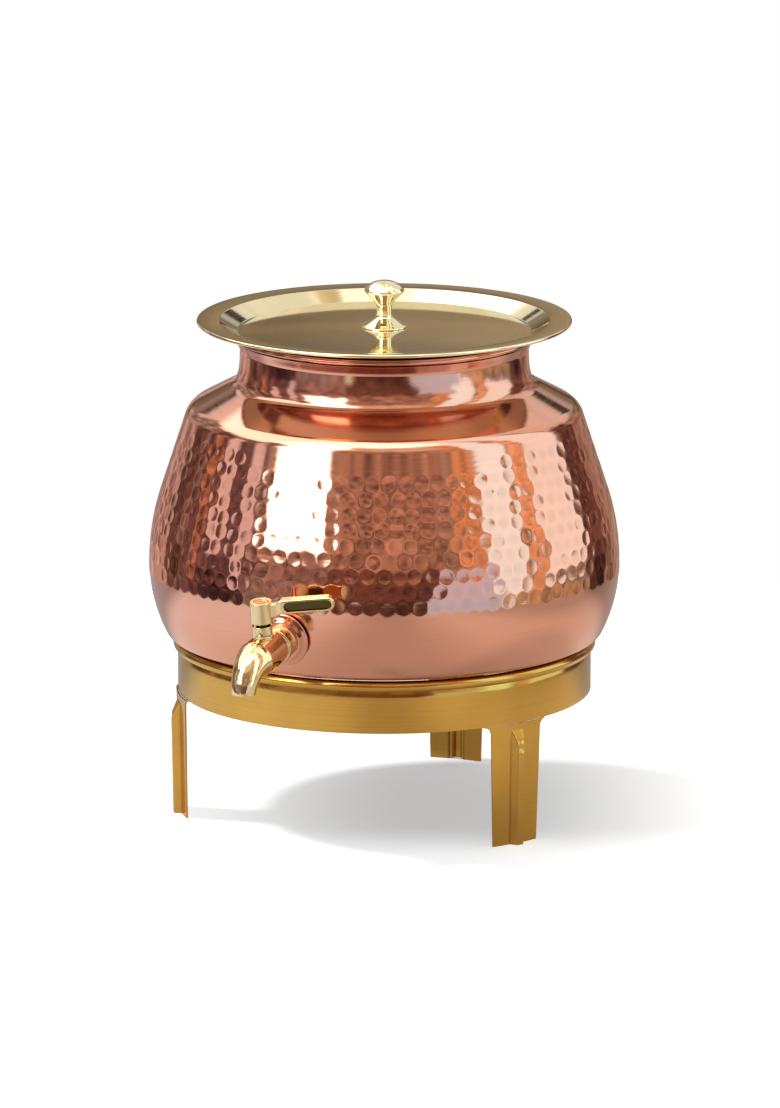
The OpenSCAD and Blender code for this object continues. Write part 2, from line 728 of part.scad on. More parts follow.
stand_ring();
stand_rim_wire();
pot_body();
pot_rim_wire();
tap_body();
tap_flange();
outer_seal();
inner_seal();
tap_washer();
tap_nut();
bonnet();
bonnet_seal();
thrust_ring();
stem_seals();
stop_pin();
valve_plug();
lever_handle();
lever_screw();
lid_plate();
lid_knob();
knob_washer();
knob_screw();
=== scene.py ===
"""Dresses the copper water dispenser: smooth sheet metal surfaces, hammer marks, finishes and a white stage."""

import math

import bpy
import numpy as np
from bpy.props import FloatProperty, FloatVectorProperty, IntProperty, PointerProperty
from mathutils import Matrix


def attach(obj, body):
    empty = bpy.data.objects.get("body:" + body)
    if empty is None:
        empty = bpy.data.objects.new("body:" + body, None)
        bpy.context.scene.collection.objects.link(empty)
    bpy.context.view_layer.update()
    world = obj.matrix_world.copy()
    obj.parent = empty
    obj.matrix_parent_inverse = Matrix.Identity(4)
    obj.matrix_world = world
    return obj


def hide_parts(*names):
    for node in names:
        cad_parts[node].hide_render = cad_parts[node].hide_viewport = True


bl_info = {
    "name": "Copper water dispenser",
    "version": (1, 0, 0),
    "blender": (4, 5, 0),
    "location": "3D View > Sidebar > Dispenser",
    "description": "Surfaces and finishes of a hammered copper water dispenser with tap, lid and stand",
    "category": "Object",
}

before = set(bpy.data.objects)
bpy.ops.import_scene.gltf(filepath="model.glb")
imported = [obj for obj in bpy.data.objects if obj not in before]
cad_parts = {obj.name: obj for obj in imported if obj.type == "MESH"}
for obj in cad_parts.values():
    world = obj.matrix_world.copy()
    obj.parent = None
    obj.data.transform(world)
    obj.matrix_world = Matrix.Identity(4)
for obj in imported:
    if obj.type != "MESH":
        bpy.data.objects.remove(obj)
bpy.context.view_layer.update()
MM = 0.001


# Curves and grids, in millimetres until a mesh is made


def unit(degrees):
    """Unit vectors (cos a, sin a) of angles in degrees."""
    a = np.radians(degrees)
    return np.stack([np.cos(a), np.sin(a)], axis=-1)


def arc(mid, radius, start, end, steps):
    """Points mid + radius (cos a, sin a) with a running evenly from start to end."""
    return np.asarray(mid) + radius * unit(np.linspace(start, end, steps + 1))


def straight(a, b, steps):
    """Points running evenly from a to b."""
    u = np.linspace(0.0, 1.0, steps + 1)[:, None]
    return (1 - u) * np.asarray(a) + u * np.asarray(b)


def cubic(a, b, c, d, steps):
    """Points of the cubic curve with the control points a, b, c and d."""
    u = np.linspace(0.0, 1.0, steps + 1)[:, None]
    a, b, c, d = (np.asarray(p, dtype=float) for p in (a, b, c, d))
    return (1 - u) ** 3 * a + 3 * (1 - u) ** 2 * u * b + 3 * (1 - u) * u**2 * c + u**3 * d


def corner_mid(corner, a0, a1, radius):
    """Middle of the arc that touches two lines with normals a0 and a1 that meet in a corner."""
    return np.asarray(corner) - radius * (unit(a0) + unit(a1)) / (1 + math.cos(math.radians(a1 - a0)))


def outer_corner(corner, a0, a1, radius, inset, steps):
    """Rounded outer corner, drawn in by inset."""
    return arc(corner_mid(corner, a0, a1, radius), radius - inset, a0, a1, steps)


def inner_corner(corner, a0, a1, radius, inset, steps):
    """Rounded inner corner, drawn in by inset."""
    return arc(corner_mid(corner, a0, a1, -radius), -radius - inset, a0, a1, steps)


def chain(*lines):
    """Joins lines end to end and drops points that repeat."""
    points = np.concatenate(lines)
    step = np.linalg.norm(np.diff(points, axis=0), axis=1)
    return points[np.concatenate([[True], step > 1e-4])]


def rounded(points, radius, steps=5):
    """A corner line whose inner points are cut by quadratic curves of about the given radius."""
    points = np.asarray(points, dtype=float)
    u = np.linspace(0.0, 1.0, steps + 1)[:, None]
    out = [points[:1]]
    for a, b, c in zip(points[:-2], points[1:-1], points[2:]):
        before, after = a - b, c - b
        cut_in = min(radius, 0.49 * np.linalg.norm(before)) * before / np.linalg.norm(before)
        cut_out = min(radius, 0.49 * np.linalg.norm(after)) * after / np.linalg.norm(after)
        out.append((1 - u) ** 2 * (b + cut_in) + 2 * (1 - u) * u * b + u**2 * (b + cut_out))
    out.append(points[-1:])
    return chain(*out)


def lathe(line, columns):
    """Revolves (radius, height) points about Z: x = r cos t, y = r sin t."""
    t = np.linspace(0.0, 2 * np.pi, columns, endpoint=False)
    r, z = line[:, :1], line[:, 1:]
    return np.stack([r * np.cos(t), r * np.sin(t), np.broadcast_to(z, (len(line), columns))], axis=-1)


def grid_normals(points, wrap):
    """Normals of a grid: cross product of its two central differences, the columns closed if wrap is set."""
    down = np.gradient(points, axis=0, edge_order=2 if len(points) > 2 else 1)
    if wrap:
        across = (np.roll(points, -1, axis=1) - np.roll(points, 1, axis=1)) / 2
    else:
        across = np.gradient(points, axis=1)
    n = np.cross(across, down)
    length = np.linalg.norm(n, axis=-1, keepdims=True)
    return n / np.where(length < 1e-12, 1.0, length)


def smooth_step(x, low, high):
    """0 below low, 1 above high, and 3 u^2 - 2 u^3 between them."""
    u = np.clip((x - low) / (high - low), 0.0, 1.0)
    return u * u * (3 - 2 * u)


def soft_min(a, b, width):
    """The smaller of two fields, rounded over the given width."""
    h = np.clip(0.5 + 0.5 * (b - a) / width, 0.0, 1.0)
    return b * (1 - h) + a * h - width * h * (1 - h)


class Sheet:
    """A grid of points that becomes faces: rows by columns, its columns closed unless said otherwise."""

    def __init__(self, points, wrap=True, mark=None):
        self.points = np.asarray(points, dtype=float)
        self.wrap = wrap
        self.normals = grid_normals(self.points, wrap)
        self.mark = np.zeros(self.points.shape[:2]) if mark is None else mark

    def arrays(self, first):
        """(vertices, normals, faces, marks) with the vertex numbers starting at first, and a point for each pole."""
        rows, columns = self.points.shape[:2]
        flat = [np.ptp(self.points[i], axis=0).max() < 1e-6 for i in (0, -1)]
        lo, hi = int(flat[0]), rows - int(flat[1])
        keep = self.points[lo:hi].reshape(-1, 3)
        normal = self.normals[lo:hi].reshape(-1, 3)
        mark = self.mark[lo:hi].ravel()
        index = first + np.arange((hi - lo) * columns).reshape(hi - lo, columns)
        nxt = np.roll(index, -1, axis=1) if self.wrap else index[:, 1:]
        cur = index if self.wrap else index[:, :-1]
        quads = np.stack([cur[:-1], nxt[:-1], nxt[1:], cur[1:]], axis=-1).reshape(-1, 4)
        faces = quads.tolist()
        end = first + len(keep)
        for at, turned in ((0, True), (-1, False)):
            if flat[at]:
                keep = np.concatenate([keep, self.points[at][:1]])
                normal = np.concatenate([normal, np.sign(self.normals[lo:hi][at].mean(0))[None] * [[0, 0, 1]]])
                mark = np.append(mark, self.mark[at][0])
                pole = np.full(cur.shape[1], end)
                ring = [nxt[at], cur[at], pole] if turned else [cur[at], nxt[at], pole]
                faces += np.stack(ring, axis=-1).tolist()
                end += 1
        return keep, normal, faces, mark


def lathe_sheet(line, columns, mark=None):
    """Sheet of a lathe, with a mark for each point of its line or none."""
    return Sheet(lathe(line, columns), mark=None if mark is None else np.repeat(mark[:, None], columns, axis=1))


def turn_about_z(degrees):
    """Matrix of a turn about Z."""
    c, s = math.cos(math.radians(degrees)), math.sin(math.radians(degrees))
    return np.array([[c, -s, 0], [s, c, 0], [0, 0, 1]])


def turned_to(points, place):
    """Points carried by a 4x4 matrix."""
    return points @ place[:3, :3].T + place[:3, 3]


def make_piece(name, sheets, material, body, nodes, sharp=None, place=None, fine=False):
    """Makes an object from sheets, in metres, and hands it to its body. Sharp is the crease angle in degrees;
    fine keeps the sheets' own normals. The sheets' marks become the mesh's mark attribute."""
    points, normals, faces, marks, first = [], [], [], [], 0
    for sheet in sheets:
        p, n, f, m = sheet.arrays(first)
        points.append(p)
        normals.append(n)
        faces += f
        marks.append(m)
        first += len(p)
    points, normals, marks = np.concatenate(points), np.concatenate(normals), np.concatenate(marks)
    if place is not None:
        points, normals = turned_to(points, place), normals @ place[:3, :3].T
    mesh = bpy.data.meshes.new(name)
    mesh.from_pydata((points * MM).tolist(), [], faces)
    mesh.polygons.foreach_set("use_smooth", np.ones(len(mesh.polygons), dtype=bool))
    if sharp is not None:
        mesh.set_sharp_from_angle(angle=math.radians(sharp))
    if fine:
        mesh.normals_split_custom_set_from_vertices(normals.tolist())
    mesh.validate()
    mesh.update()
    if marks.any():
        mesh.attributes.new("mark", "FLOAT", "POINT").data.foreach_set("value", marks.astype(np.float32))
    obj = bpy.data.objects.new(name, mesh)
    bpy.context.scene.collection.objects.link(obj)
    mesh.materials.append(material)
    if nodes:
        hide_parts(*nodes)
    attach(obj, body)
    return obj


# Sizes of the object, in millimetres and degrees: those of the part's source, and the finer forms of the metal

BAND_R, STAND_SHEET, LEG_H, BAND_H, BEAD_R = 134.5, 1.2, 79.5, 31.0, 3.6
LEG_TOP_W, LEG_FOOT_W, LEG_LEAN, LEG_FILLET = 40.5, 36.0, 1.0, 5.0
RIB_BASE_W, RIB_CREST_W, RIB_H, RIB_RAMP, RIB_GAP = 10.6, 4.8, 6.0, 12.0, 1.5
# The last of these is the strength of the painted shade along the rib's foot.
DENT_DEPTH, DENT_W, DENT_L, DENT_Z, RIB_SHADE_SHARE = 1.0, 2.2, 3.0, 64.5, 0.8
STAND_TURN, LEGS = 4.0, 3
BEAD_MID = np.array([BAND_R - STAND_SHEET / 2, LEG_H + BAND_H])
LIFT_GAP = 0.3
SWAGE_H, SWAGE_IN = 4.8, 0.5

BELLY_R, BELLY_RISE, POT_WALL = 152.8, 53.0, 1.0
BOTTOM_R, BOTTOM_CORNER_R, LOWER_R, UPPER_R, SIDE_LEAN = 640.0, 9.0, 97.0, 155.0, 18.2
SHOULDER_R, SHOULDER_SLOPE, SHOULDER_ROUND = 127.2, 28.0, 6.0
NECK_R, NECK_FOOT_ROUND, NECK_H, FLARE_R, FLARE_ANGLE, LIP_R = 93.5, 4.0, 20.0, 21.0, 27.0, 1.9
SHOULDER_SOFT, SWEEP_FOOT, SWEEP_H, SWEEP_PULL = 14.0, 9.0, 19.5, 3.0
FLARE_PULL, FLARE_BEND, FLARE_END = 1.0, np.array([-2.6, -7.4]), np.array([-0.1, -1.7])
WALL_START_A = -4.0

LID_R, LID_RIM_W, LID_DEPTH, LID_SLOPE, LID_CROWN, LID_SHEET, LID_HEM = 121.4, 14.5, 6.8, 30.0, 2.0, 0.9, 2.2
KNOB_FOOT_R, KNOB_WAIST_R, KNOB_HEAD_R, KNOB_H = 14.85, 5.0, 13.05, 30.7

TAP_DROP, TAP_TILT, TAIL_R, TAIL_L = 20.8, 9.0, 8.3, 14.0
FLANGE_R, FLANGE_T, SEAL_T, COLLAR_R, COLLAR_L = 17.35, 4.0, 1.0, 11.5, 10.4
BODY_R, VALVE_REACH, BEND_START, BEND_R, BEND_ANGLE = 10.4, 29.7, 13.7, 19.8, 79.0
HORN_R, HORN_UP, HORN_ROUND, HORN_LAP, HORN_TAPER = 12.2, 1.5, 3.4, 12.0, 1.2
OUTLET_R, OUTLET_BORE_R, OUTLET_BORE_L = 7.6, 5.0, 8.0
BONNET_R, BONNET_H, BOSS_RISE, BONNET_SEAL_T = 6.4, 5.9, 0.4, 0.6
HUB_R, HUB_H, SLIT_H, STOP_TURN, LEVER_TRAVEL = 7.1, 15.8, 1.6, -114.0, 90.0
LEVER_L, LEVER_H, PADDLE_T, NECK_T, PADDLE_START, PADDLE_STEP = 47.7, 9.4, 7.2, 5.6, 13.0, 2.2
POCKET_H, POCKET_DEPTH, LEVER_RISE, LEVER_TURN, LEVER_SHARE = 6.6, 2.0, 3.0, 18.0, 0.73
RECESS_DEPTH, RECESS_R = 1.6, 4.7

BELLY_Z = BEAD_MID[1] + BELLY_RISE
LOWER_MID = np.array([BELLY_R - LOWER_R, BELLY_Z])
UPPER_MID = np.array([BELLY_R - UPPER_R, BELLY_Z])
UPPER_END = UPPER_MID + UPPER_R * unit(SIDE_LEAN)
SHOULDER_CORNER = np.array(
    [SHOULDER_R, UPPER_END[1] + (UPPER_END[0] - SHOULDER_R) / math.tan(math.radians(SIDE_LEAN))]
)
NECK_FOOT = np.array(
    [NECK_R, SHOULDER_CORNER[1] + (SHOULDER_R - NECK_R) * math.tan(math.radians(SHOULDER_SLOPE))]
)
FLARE_MID = np.array([NECK_R + FLARE_R, NECK_FOOT[1] + NECK_H])
LIP_MID = FLARE_MID - (FLARE_R - LIP_R + POT_WALL) * unit(-FLARE_ANGLE)
RIM_IN_R = LID_R - LID_RIM_W
RIM_Z = LIP_MID[1] + (
    LIP_R + LIFT_GAP + LID_SHEET + (RIM_IN_R - LIP_MID[0]) * math.sin(math.radians(LID_SLOPE))
) / math.cos(math.radians(LID_SLOPE))
FLOOR_R = RIM_IN_R - LID_DEPTH / math.tan(math.radians(LID_SLOPE))
FLOOR_Z = RIM_Z - LID_DEPTH
KNOB_Z = FLOOR_Z + LID_CROWN
TAP_Z = BELLY_Z - TAP_DROP
TAP_R = LOWER_MID[0] + math.sqrt(LOWER_R**2 - TAP_DROP**2)
BOSS_TOP = HORN_UP + HORN_R + BOSS_RISE
BONNET_BASE = BOSS_TOP + BONNET_SEAL_T
BONNET_TOP = BONNET_BASE + BONNET_H
HUB_BASE = BONNET_TOP + LIFT_GAP


def tap_place(along=0.0, upright=True):
    """Matrix from the tap's own frame: turned down by its tilt about X and set on the pot wall, moved out by
    along. With upright unset, +Z points out of the pot."""
    c, s = math.cos(math.radians(TAP_TILT)), math.sin(math.radians(TAP_TILT))
    tilt = np.array([[1, 0, 0], [0, c, -s], [0, s, c]])
    lay = np.eye(3) if upright else np.array([[1.0, 0, 0], [0, 0, -1], [0, 1, 0]])
    place = np.eye(4)
    place[:3, :3] = tilt @ lay
    place[:3, 3] = np.array([0, -TAP_R, TAP_Z]) + tilt @ np.array([0, -along, 0])
    return place


# Settings


class PotSettings(bpy.types.PropertyGroup):
    """Hammer marks and colour of the pot."""

    mark_pitch: FloatProperty(name="Mark pitch", description="Distance of marks along a row, in mm", default=10.2)
    row_pitch: FloatProperty(name="Row pitch", description="Distance of the rows of marks, in mm", default=9.9)
    mark_r: FloatProperty(name="Mark radius", description="Radius of a hammer mark, in mm", default=4.8)
    mark_depth: FloatProperty(name="Mark depth", description="Depth of a hammer mark, in mm", default=0.2)
    columns: IntProperty(name="Columns", description="Grid columns around the hammered wall", default=840)
    copper: FloatVectorProperty(
        name="Copper", description="Colour of polished copper", subtype="COLOR", size=3, default=(0.80, 0.375, 0.255)
    )


class BrassSettings(bpy.types.PropertyGroup):
    """Colours of the brass pieces."""

    lid: FloatVectorProperty(
        name="Lid", description="Colour of the pale polished brass", subtype="COLOR", size=3, default=(0.88, 0.76, 0.48)
    )
    stand: FloatVectorProperty(
        name="Stand", description="Colour of the brushed brass", subtype="COLOR", size=3, default=(0.69, 0.38, 0.08)
    )
    tap: FloatVectorProperty(
        name="Tap", description="Colour of the tap's brass", subtype="COLOR", size=3, default=(0.82, 0.61, 0.33)
    )


class StageSettings(bpy.types.PropertyGroup):
    """Camera and light."""

    azimuth: FloatProperty(name="Azimuth", description="Camera's turn round the object, in degrees", default=25.0)
    distance: FloatProperty(name="Distance", description="Camera's level distance", default=6.2, unit="LENGTH")
    height: FloatProperty(name="Height", description="Camera's height", default=1.545, unit="LENGTH")
    pitch: FloatProperty(name="Pitch", description="Camera's downward tilt in degrees", default=12.527)
    lens: FloatProperty(name="Lens", description="Focal length in mm on a 36 mm long side", default=317.5)
    key_turn: FloatProperty(name="Key turn", description="Key light's turn from the camera, in degrees", default=-105.0)
    key_height: FloatProperty(name="Key height", description="Key light's height in degrees", default=55.0)
    key_strength: FloatProperty(name="Key strength", description="Key light's strength", default=2.5)


# Finishes: depths of bumps in metres, smudges per metre on small pieces, what lines and smudges change, and the painted
# shade colours where a mesh has marks: in the gap above the stand's bead, under the lid (redder too, a painted
# reflection of the copper), along the legs' ribs, and in the tap's slit, lever pocket and bonnet top

LINE_DEPTH, SMALL_WAVE, SMALL_SMUDGES = 0.00004, 0.00005, 120.0
LINE_TONE, SMUDGE_TONE, SMUDGE_ROUGH = 0.35, 0.65, 0.5
GAP_SHADE_RED, LID_UNDERSIDE_SHADE = (0.20, 0.035, 0.02), (0.80, 0.56, 0.36)
RIB_FOOT_SHADE, TAP_RECESS_SHADE = (0.20, 0.11, 0.03), (0.10, 0.075, 0.025)


def add_node(tree, kind, inputs=None, **settings):
    """Adds a node with its settings and either fixed values or links on its inputs."""
    n = tree.nodes.new(kind)
    for key, value in settings.items():
        setattr(n, key, value)
    for key, value in (inputs or {}).items():
        if isinstance(value, bpy.types.NodeSocket):
            tree.links.new(value, n.inputs[key])
        else:
            n.inputs[key].default_value = value
    return n


def math_node(tree, operation, a, b=0.0, c=0.0):
    """Output of a Math node."""
    return add_node(tree, "ShaderNodeMath", {0: a, 1: b, 2: c}, operation=operation).outputs[0]


def map_range(tree, value, low, high, to_low=0.0, to_high=1.0, smooth=False):
    """Output of a Map Range node, clamped."""
    kind = "SMOOTHSTEP" if smooth else "LINEAR"
    inputs = {"Value": value, "From Min": low, "From Max": high, "To Min": to_low, "To Max": to_high}
    return add_node(tree, "ShaderNodeMapRange", inputs, interpolation_type=kind).outputs["Result"]


def mix_colour(tree, factor, a, b):
    """Output of a mix of a and b, each a link or a colour."""
    a, b = (c if isinstance(c, bpy.types.NodeSocket) else (*c, 1.0) for c in (a, b))
    return add_node(tree, "ShaderNodeMix", {0: factor, 6: a, 7: b}, data_type="RGBA").outputs[2]


def new_group(name, inputs, outputs):
    """Empty shader node group. Its inputs are numbers with a default, or vectors where that is None, and its outputs
    are numbers. Returns (tree, sockets that come in, sockets that go out)."""
    tree = bpy.data.node_groups.new(name, "ShaderNodeTree")
    for label, value in inputs.items():
        kind = "NodeSocketVector" if value is None else "NodeSocketFloat"
        socket = tree.interface.new_socket(label, in_out="INPUT", socket_type=kind)
        if value is not None:
            socket.default_value = value
    for label in outputs:
        tree.interface.new_socket(label, in_out="OUTPUT", socket_type="NodeSocketFloat")
    return tree, tree.nodes.new("NodeGroupInput").outputs, tree.nodes.new("NodeGroupOutput").inputs


def ring_brush_group():
    """Lines that run round the Z axis: noise read along height and radius, and only slowly along the turn."""
    tree, given, made = new_group("ring brush", {"Vector": None, "Density": 900.0, "Length": 9.0}, ("Lines",))
    xyz = add_node(tree, "ShaderNodeSeparateXYZ", {0: given["Vector"]}).outputs
    level = add_node(tree, "ShaderNodeCombineXYZ", {"X": xyz["X"], "Y": xyz["Y"]})
    radius = add_node(tree, "ShaderNodeVectorMath", {0: level.outputs[0]}, operation="LENGTH").outputs["Value"]
    across = math_node(tree, "MULTIPLY", math_node(tree, "ADD", xyz["Z"], radius), given["Density"])
    along = math_node(tree, "MULTIPLY", xyz["X"], given["Length"])
    side = math_node(tree, "MULTIPLY", xyz["Y"], given["Length"])
    at = add_node(tree, "ShaderNodeCombineXYZ", {"X": across, "Y": along, "Z": side})
    grain = {"Vector": at.outputs[0], "Scale": 1.0, "Detail": 4.0, "Roughness": 0.6}
    noise = add_node(tree, "ShaderNodeTexNoise", grain)
    tree.links.new(map_range(tree, noise.outputs[0], 0.3, 0.7), made["Lines"])
    return tree


def handling_group():
    """Cloudy smudges and small nicks of metal that is used by hand."""
    tree, given, made = new_group("handling", {"Vector": None, "Scale": 18.0}, ("Smudge", "Waves", "Nicks"))
    vector, scale = given["Vector"], given["Scale"]
    cloud = add_node(tree, "ShaderNodeTexNoise", {"Vector": vector, "Scale": scale, "Detail": 5.0, "Roughness": 0.55})
    smudge = map_range(tree, cloud.outputs[0], 0.35, 0.7)
    slow = math_node(tree, "MULTIPLY", scale, 1.3)
    waves = add_node(tree, "ShaderNodeTexNoise", {"Vector": vector, "Scale": slow, "Detail": 1.0})
    tiny = math_node(tree, "MULTIPLY", scale, 30.0)
    cells = add_node(tree, "ShaderNodeTexVoronoi", {"Vector": vector, "Scale": tiny}, feature="F1")
    nicks = map_range(tree, cells.outputs["Distance"], 0.03, 0.10, 1.0, 0.0)
    for label, value in (("Smudge", smudge), ("Waves", waves.outputs[0]), ("Nicks", nicks)):
        tree.links.new(value, made[label])
    return tree


def group_node(tree, group, inputs):
    """Places a group in a material."""
    return add_node(tree, "ShaderNodeGroup", inputs, node_tree=group)


def new_material(name):
    """Material with an empty tree: returns (material, tree, shader, object coordinates)."""
    material = bpy.data.materials.new(name)
    material.use_nodes = True
    tree = material.node_tree
    shader = tree.nodes["Principled BSDF"]
    where = tree.nodes.new("ShaderNodeTexCoord").outputs["Object"]
    return material, tree, shader, where


def metal(name, groups, colour, deep, sunk, rough, brush, density, wave, smudges):
    """Metal finish: brushed rings and smudges take the colour down to its deep share and change the roughness, lines
    and slow waves raise bumps, and the sunk colour, a painted shade, shows where the mesh has marks."""
    material, tree, shader, where = new_material(name)
    shader.inputs["Metallic"].default_value = 1.0
    rings = group_node(tree, groups["brush"], {"Vector": where, "Density": density})
    hand = group_node(tree, groups["handling"], {"Vector": where, "Scale": smudges})
    lines, smudge = rings.outputs["Lines"], hand.outputs["Smudge"]
    tone = math_node(tree, "MULTIPLY_ADD", lines, LINE_TONE, math_node(tree, "MULTIPLY", smudge, SMUDGE_TONE))
    mark = add_node(tree, "ShaderNodeAttribute", attribute_name="mark").outputs["Fac"]
    plain = mix_colour(tree, tone, colour, shade(colour, deep))
    tree.links.new(mix_colour(tree, mark, plain, sunk), shader.inputs["Base Color"])
    dull = math_node(tree, "MULTIPLY_ADD", smudge, SMUDGE_ROUGH * rough, rough)
    spread = math_node(tree, "MULTIPLY_ADD", lines, brush, dull)
    tree.links.new(spread, shader.inputs["Roughness"])
    line_bump = min(1.0, 4 * brush)
    fine = add_node(tree, "ShaderNodeBump", {"Height": lines, "Strength": line_bump, "Distance": LINE_DEPTH})
    slow = add_node(
        tree,
        "ShaderNodeBump",
        {"Height": hand.outputs["Waves"], "Strength": 1.0, "Distance": wave, "Normal": fine.outputs[0]},
    )
    tree.links.new(slow.outputs[0], shader.inputs["Normal"])
    return material


def plain_finish(name, groups, colour, deep, rough, metallic=0.0):
    """Finish of small inner pieces: cloudy colour, nicks in the roughness and a light bump."""
    material, tree, shader, where = new_material(name)
    shader.inputs["Metallic"].default_value = metallic
    hand = group_node(tree, groups["handling"], {"Vector": where, "Scale": SMALL_SMUDGES})
    tree.links.new(mix_colour(tree, hand.outputs["Smudge"], colour, deep), shader.inputs["Base Color"])
    spread = math_node(tree, "MULTIPLY_ADD", hand.outputs["Nicks"], 0.2, rough)
    tree.links.new(spread, shader.inputs["Roughness"])
    bump = add_node(
        tree, "ShaderNodeBump", {"Height": hand.outputs["Waves"], "Strength": 0.3, "Distance": SMALL_WAVE}
    )
    tree.links.new(bump.outputs[0], shader.inputs["Normal"])
    return material


def shade(colour, factor):
    """A colour scaled by a factor."""
    return tuple(min(1.0, c * factor) for c in colour)


def finish(name):
    """A finish by name, or an error if the finishes weren't made."""
    material = bpy.data.materials.get(name)
    if material is None:
        raise RuntimeError(f"finish {name} is missing: run the finishes first")
    return material


class DISPENSER_OT_finishes(bpy.types.Operator):
    """Makes the finishes and gives them to the nodes that stay as they are"""

    bl_idname = "dispenser.finishes"
    bl_label = "Finishes"

    KEPT = {
        "steel": ("stand_rim_wire", "pot_rim_wire", "knob_washer", "knob_screw"),
        "rubber": ("outer_seal", "inner_seal", "stem_seals"),
        "slip plastic": ("bonnet_seal", "thrust_ring"),
        "tap brass": ("tap_washer", "tap_nut", "valve_plug", "stop_pin", "lever_screw"),
    }

    def execute(self, context):
        pot, brass = context.scene.dispenser_pot, context.scene.dispenser_brass
        groups = {"brush": ring_brush_group(), "handling": handling_group()}
        copper = tuple(pot.copper)
        lid, stand, tap = tuple(brass.lid), tuple(brass.stand), tuple(brass.tap)
        # Painted shade: the hammer marks darken towards this colour with their depth.
        hollow = shade(copper, 0.86)
        # The fourth colour of each row is its painted shade, shown where the mesh has marks.
        rows = (
            ("hammered copper", copper, 0.9, hollow, 0.05, 0.05, 700.0, 0.00002, 16.0),
            ("spun copper", copper, 0.88, GAP_SHADE_RED, 0.07, 0.05, 900.0, 0.00004, 12.0),
            ("lid brass", lid, 0.9, LID_UNDERSIDE_SHADE, 0.05, 0.03, 600.0, 0.00025, 9.0),
            ("stand brass", stand, 0.8, RIB_FOOT_SHADE, 0.10, 0.06, 1100.0, 0.0001, 14.0),
            ("tap brass", tap, 0.9, TAP_RECESS_SHADE, 0.06, 0.02, 500.0, 0.00003, 40.0),
        )
        for name, colour, deep, sunk, rough, brush, density, wave, smudges in rows:
            metal(name, groups, colour, deep, sunk, rough, brush, density, wave, smudges)
        plain_finish("steel", groups, (0.50, 0.50, 0.52), (0.36, 0.36, 0.38), 0.3, metallic=1.0)
        plain_finish("rubber", groups, (0.02, 0.02, 0.02), (0.035, 0.033, 0.032), 0.6)
        plain_finish("slip plastic", groups, (0.80, 0.78, 0.73), (0.70, 0.68, 0.62), 0.45)
        for name, nodes in self.KEPT.items():
            for n in nodes:
                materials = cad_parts[n].data.materials
                materials.clear()
                materials.append(finish(name))
        return {"FINISHED"}


# Pot


def pot_bottom(inset):
    """Bottom bulge and its corner, from the middle outwards: two circles joined by the corner's circle."""
    reach = BOTTOM_R + BEAD_R + LIFT_GAP
    mid = np.array([0.0, BEAD_MID[1] + math.sqrt(reach**2 - BEAD_MID[0] ** 2)])
    line = LOWER_MID - mid
    length = np.linalg.norm(line)
    far, near = BOTTOM_R - BOTTOM_CORNER_R, LOWER_R - BOTTOM_CORNER_R
    along = (far**2 - near**2 + length**2) / (2 * length)
    beside = math.sqrt(far**2 - along**2)
    d = line / length
    corner = mid + along * d + beside * np.array([-d[1], d[0]])
    a0 = math.degrees(math.atan2(*(corner - mid)[::-1]))
    a1 = math.degrees(math.atan2(*(corner - LOWER_MID)[::-1]))
    return chain(
        arc(mid, BOTTOM_R - inset, -90, a0, 40), arc(corner, BOTTOM_CORNER_R - inset, a0, a1, 14)
    ), a1


def pot_top(inset, steps=16):
    """Shoulder corner, shoulder, foot of the neck, neck and flare, from below upwards."""
    shoulder_a = 90 - SHOULDER_SLOPE
    return chain(
        outer_corner(SHOULDER_CORNER, SIDE_LEAN, shoulder_a, SHOULDER_ROUND, inset, steps),
        inner_corner(NECK_FOOT, shoulder_a, 0, NECK_FOOT_ROUND, inset, steps),
        arc(FLARE_MID, -FLARE_R - inset, 0, -FLARE_ANGLE, steps),
    )


def pot_face(steps=16):
    """Outer line above the wall, from below upwards: the shoulder's soft corner, the shoulder, one sweep up the neck
    and the tight flare under the lip, each a circle's arc or a cubic curve."""
    slope, up = unit(-SHOULDER_SLOPE), np.array([0.0, 1.0])
    neck_top = NECK_FOOT + SWEEP_H * up
    foot, bend, pull = NECK_FOOT + SWEEP_FOOT * slope, NECK_FOOT + SWEEP_FOOT / 4 * slope, NECK_FOOT + SWEEP_PULL * up
    return chain(
        outer_corner(SHOULDER_CORNER, SIDE_LEAN, 90 - SHOULDER_SLOPE, SHOULDER_SOFT, 0, steps),
        cubic(foot, bend, pull, neck_top, 3 * steps),
        cubic(neck_top, neck_top + FLARE_PULL * up, LIP_MID + FLARE_BEND, LIP_MID + FLARE_END, steps),
    )


def wall_line(rows):
    """Line of the hammered wall from just below the belly to the shoulder's corner, at even distances."""
    top = pot_face()[0]
    line = chain(arc(LOWER_MID, LOWER_R, WALL_START_A, 0, 60), arc(UPPER_MID, UPPER_R, 0, SIDE_LEAN, 400), top[None])
    length = np.concatenate([[0], np.cumsum(np.linalg.norm(np.diff(line, axis=0), axis=1))])
    even = np.linspace(0, length[-1], rows)
    return np.stack([np.interp(even, length, line[:, i]) for i in (0, 1)], axis=-1), even


def chance(a, b, seed):
    """Even random numbers from 0 to 1 that depend only on two whole numbers and a seed."""
    v = np.sin(a * 127.1 + b * 311.7 + seed * 74.7) * 43758.5453
    return v - np.floor(v)


# Rows of hammer marks in mm along the wall, the turn at the front that the highest row leaves out, and the part that
# chance has in a mark's place, size and depth
FIRST_ROW, LAST_ROW, LOW_ROW_SHARE = 8.8, 105.0, 0.8
BARE_MID, BARE_HALF = math.radians(-70), math.radians(38)
ROW_START, TURN_PLAY, RISE_PLAY = 0.35, 0.22, 1.5
SIZE_LEAST, SIZE_PLAY, DEPTH_LEAST, DEPTH_PLAY = 0.94, 0.14, 0.65, 0.7


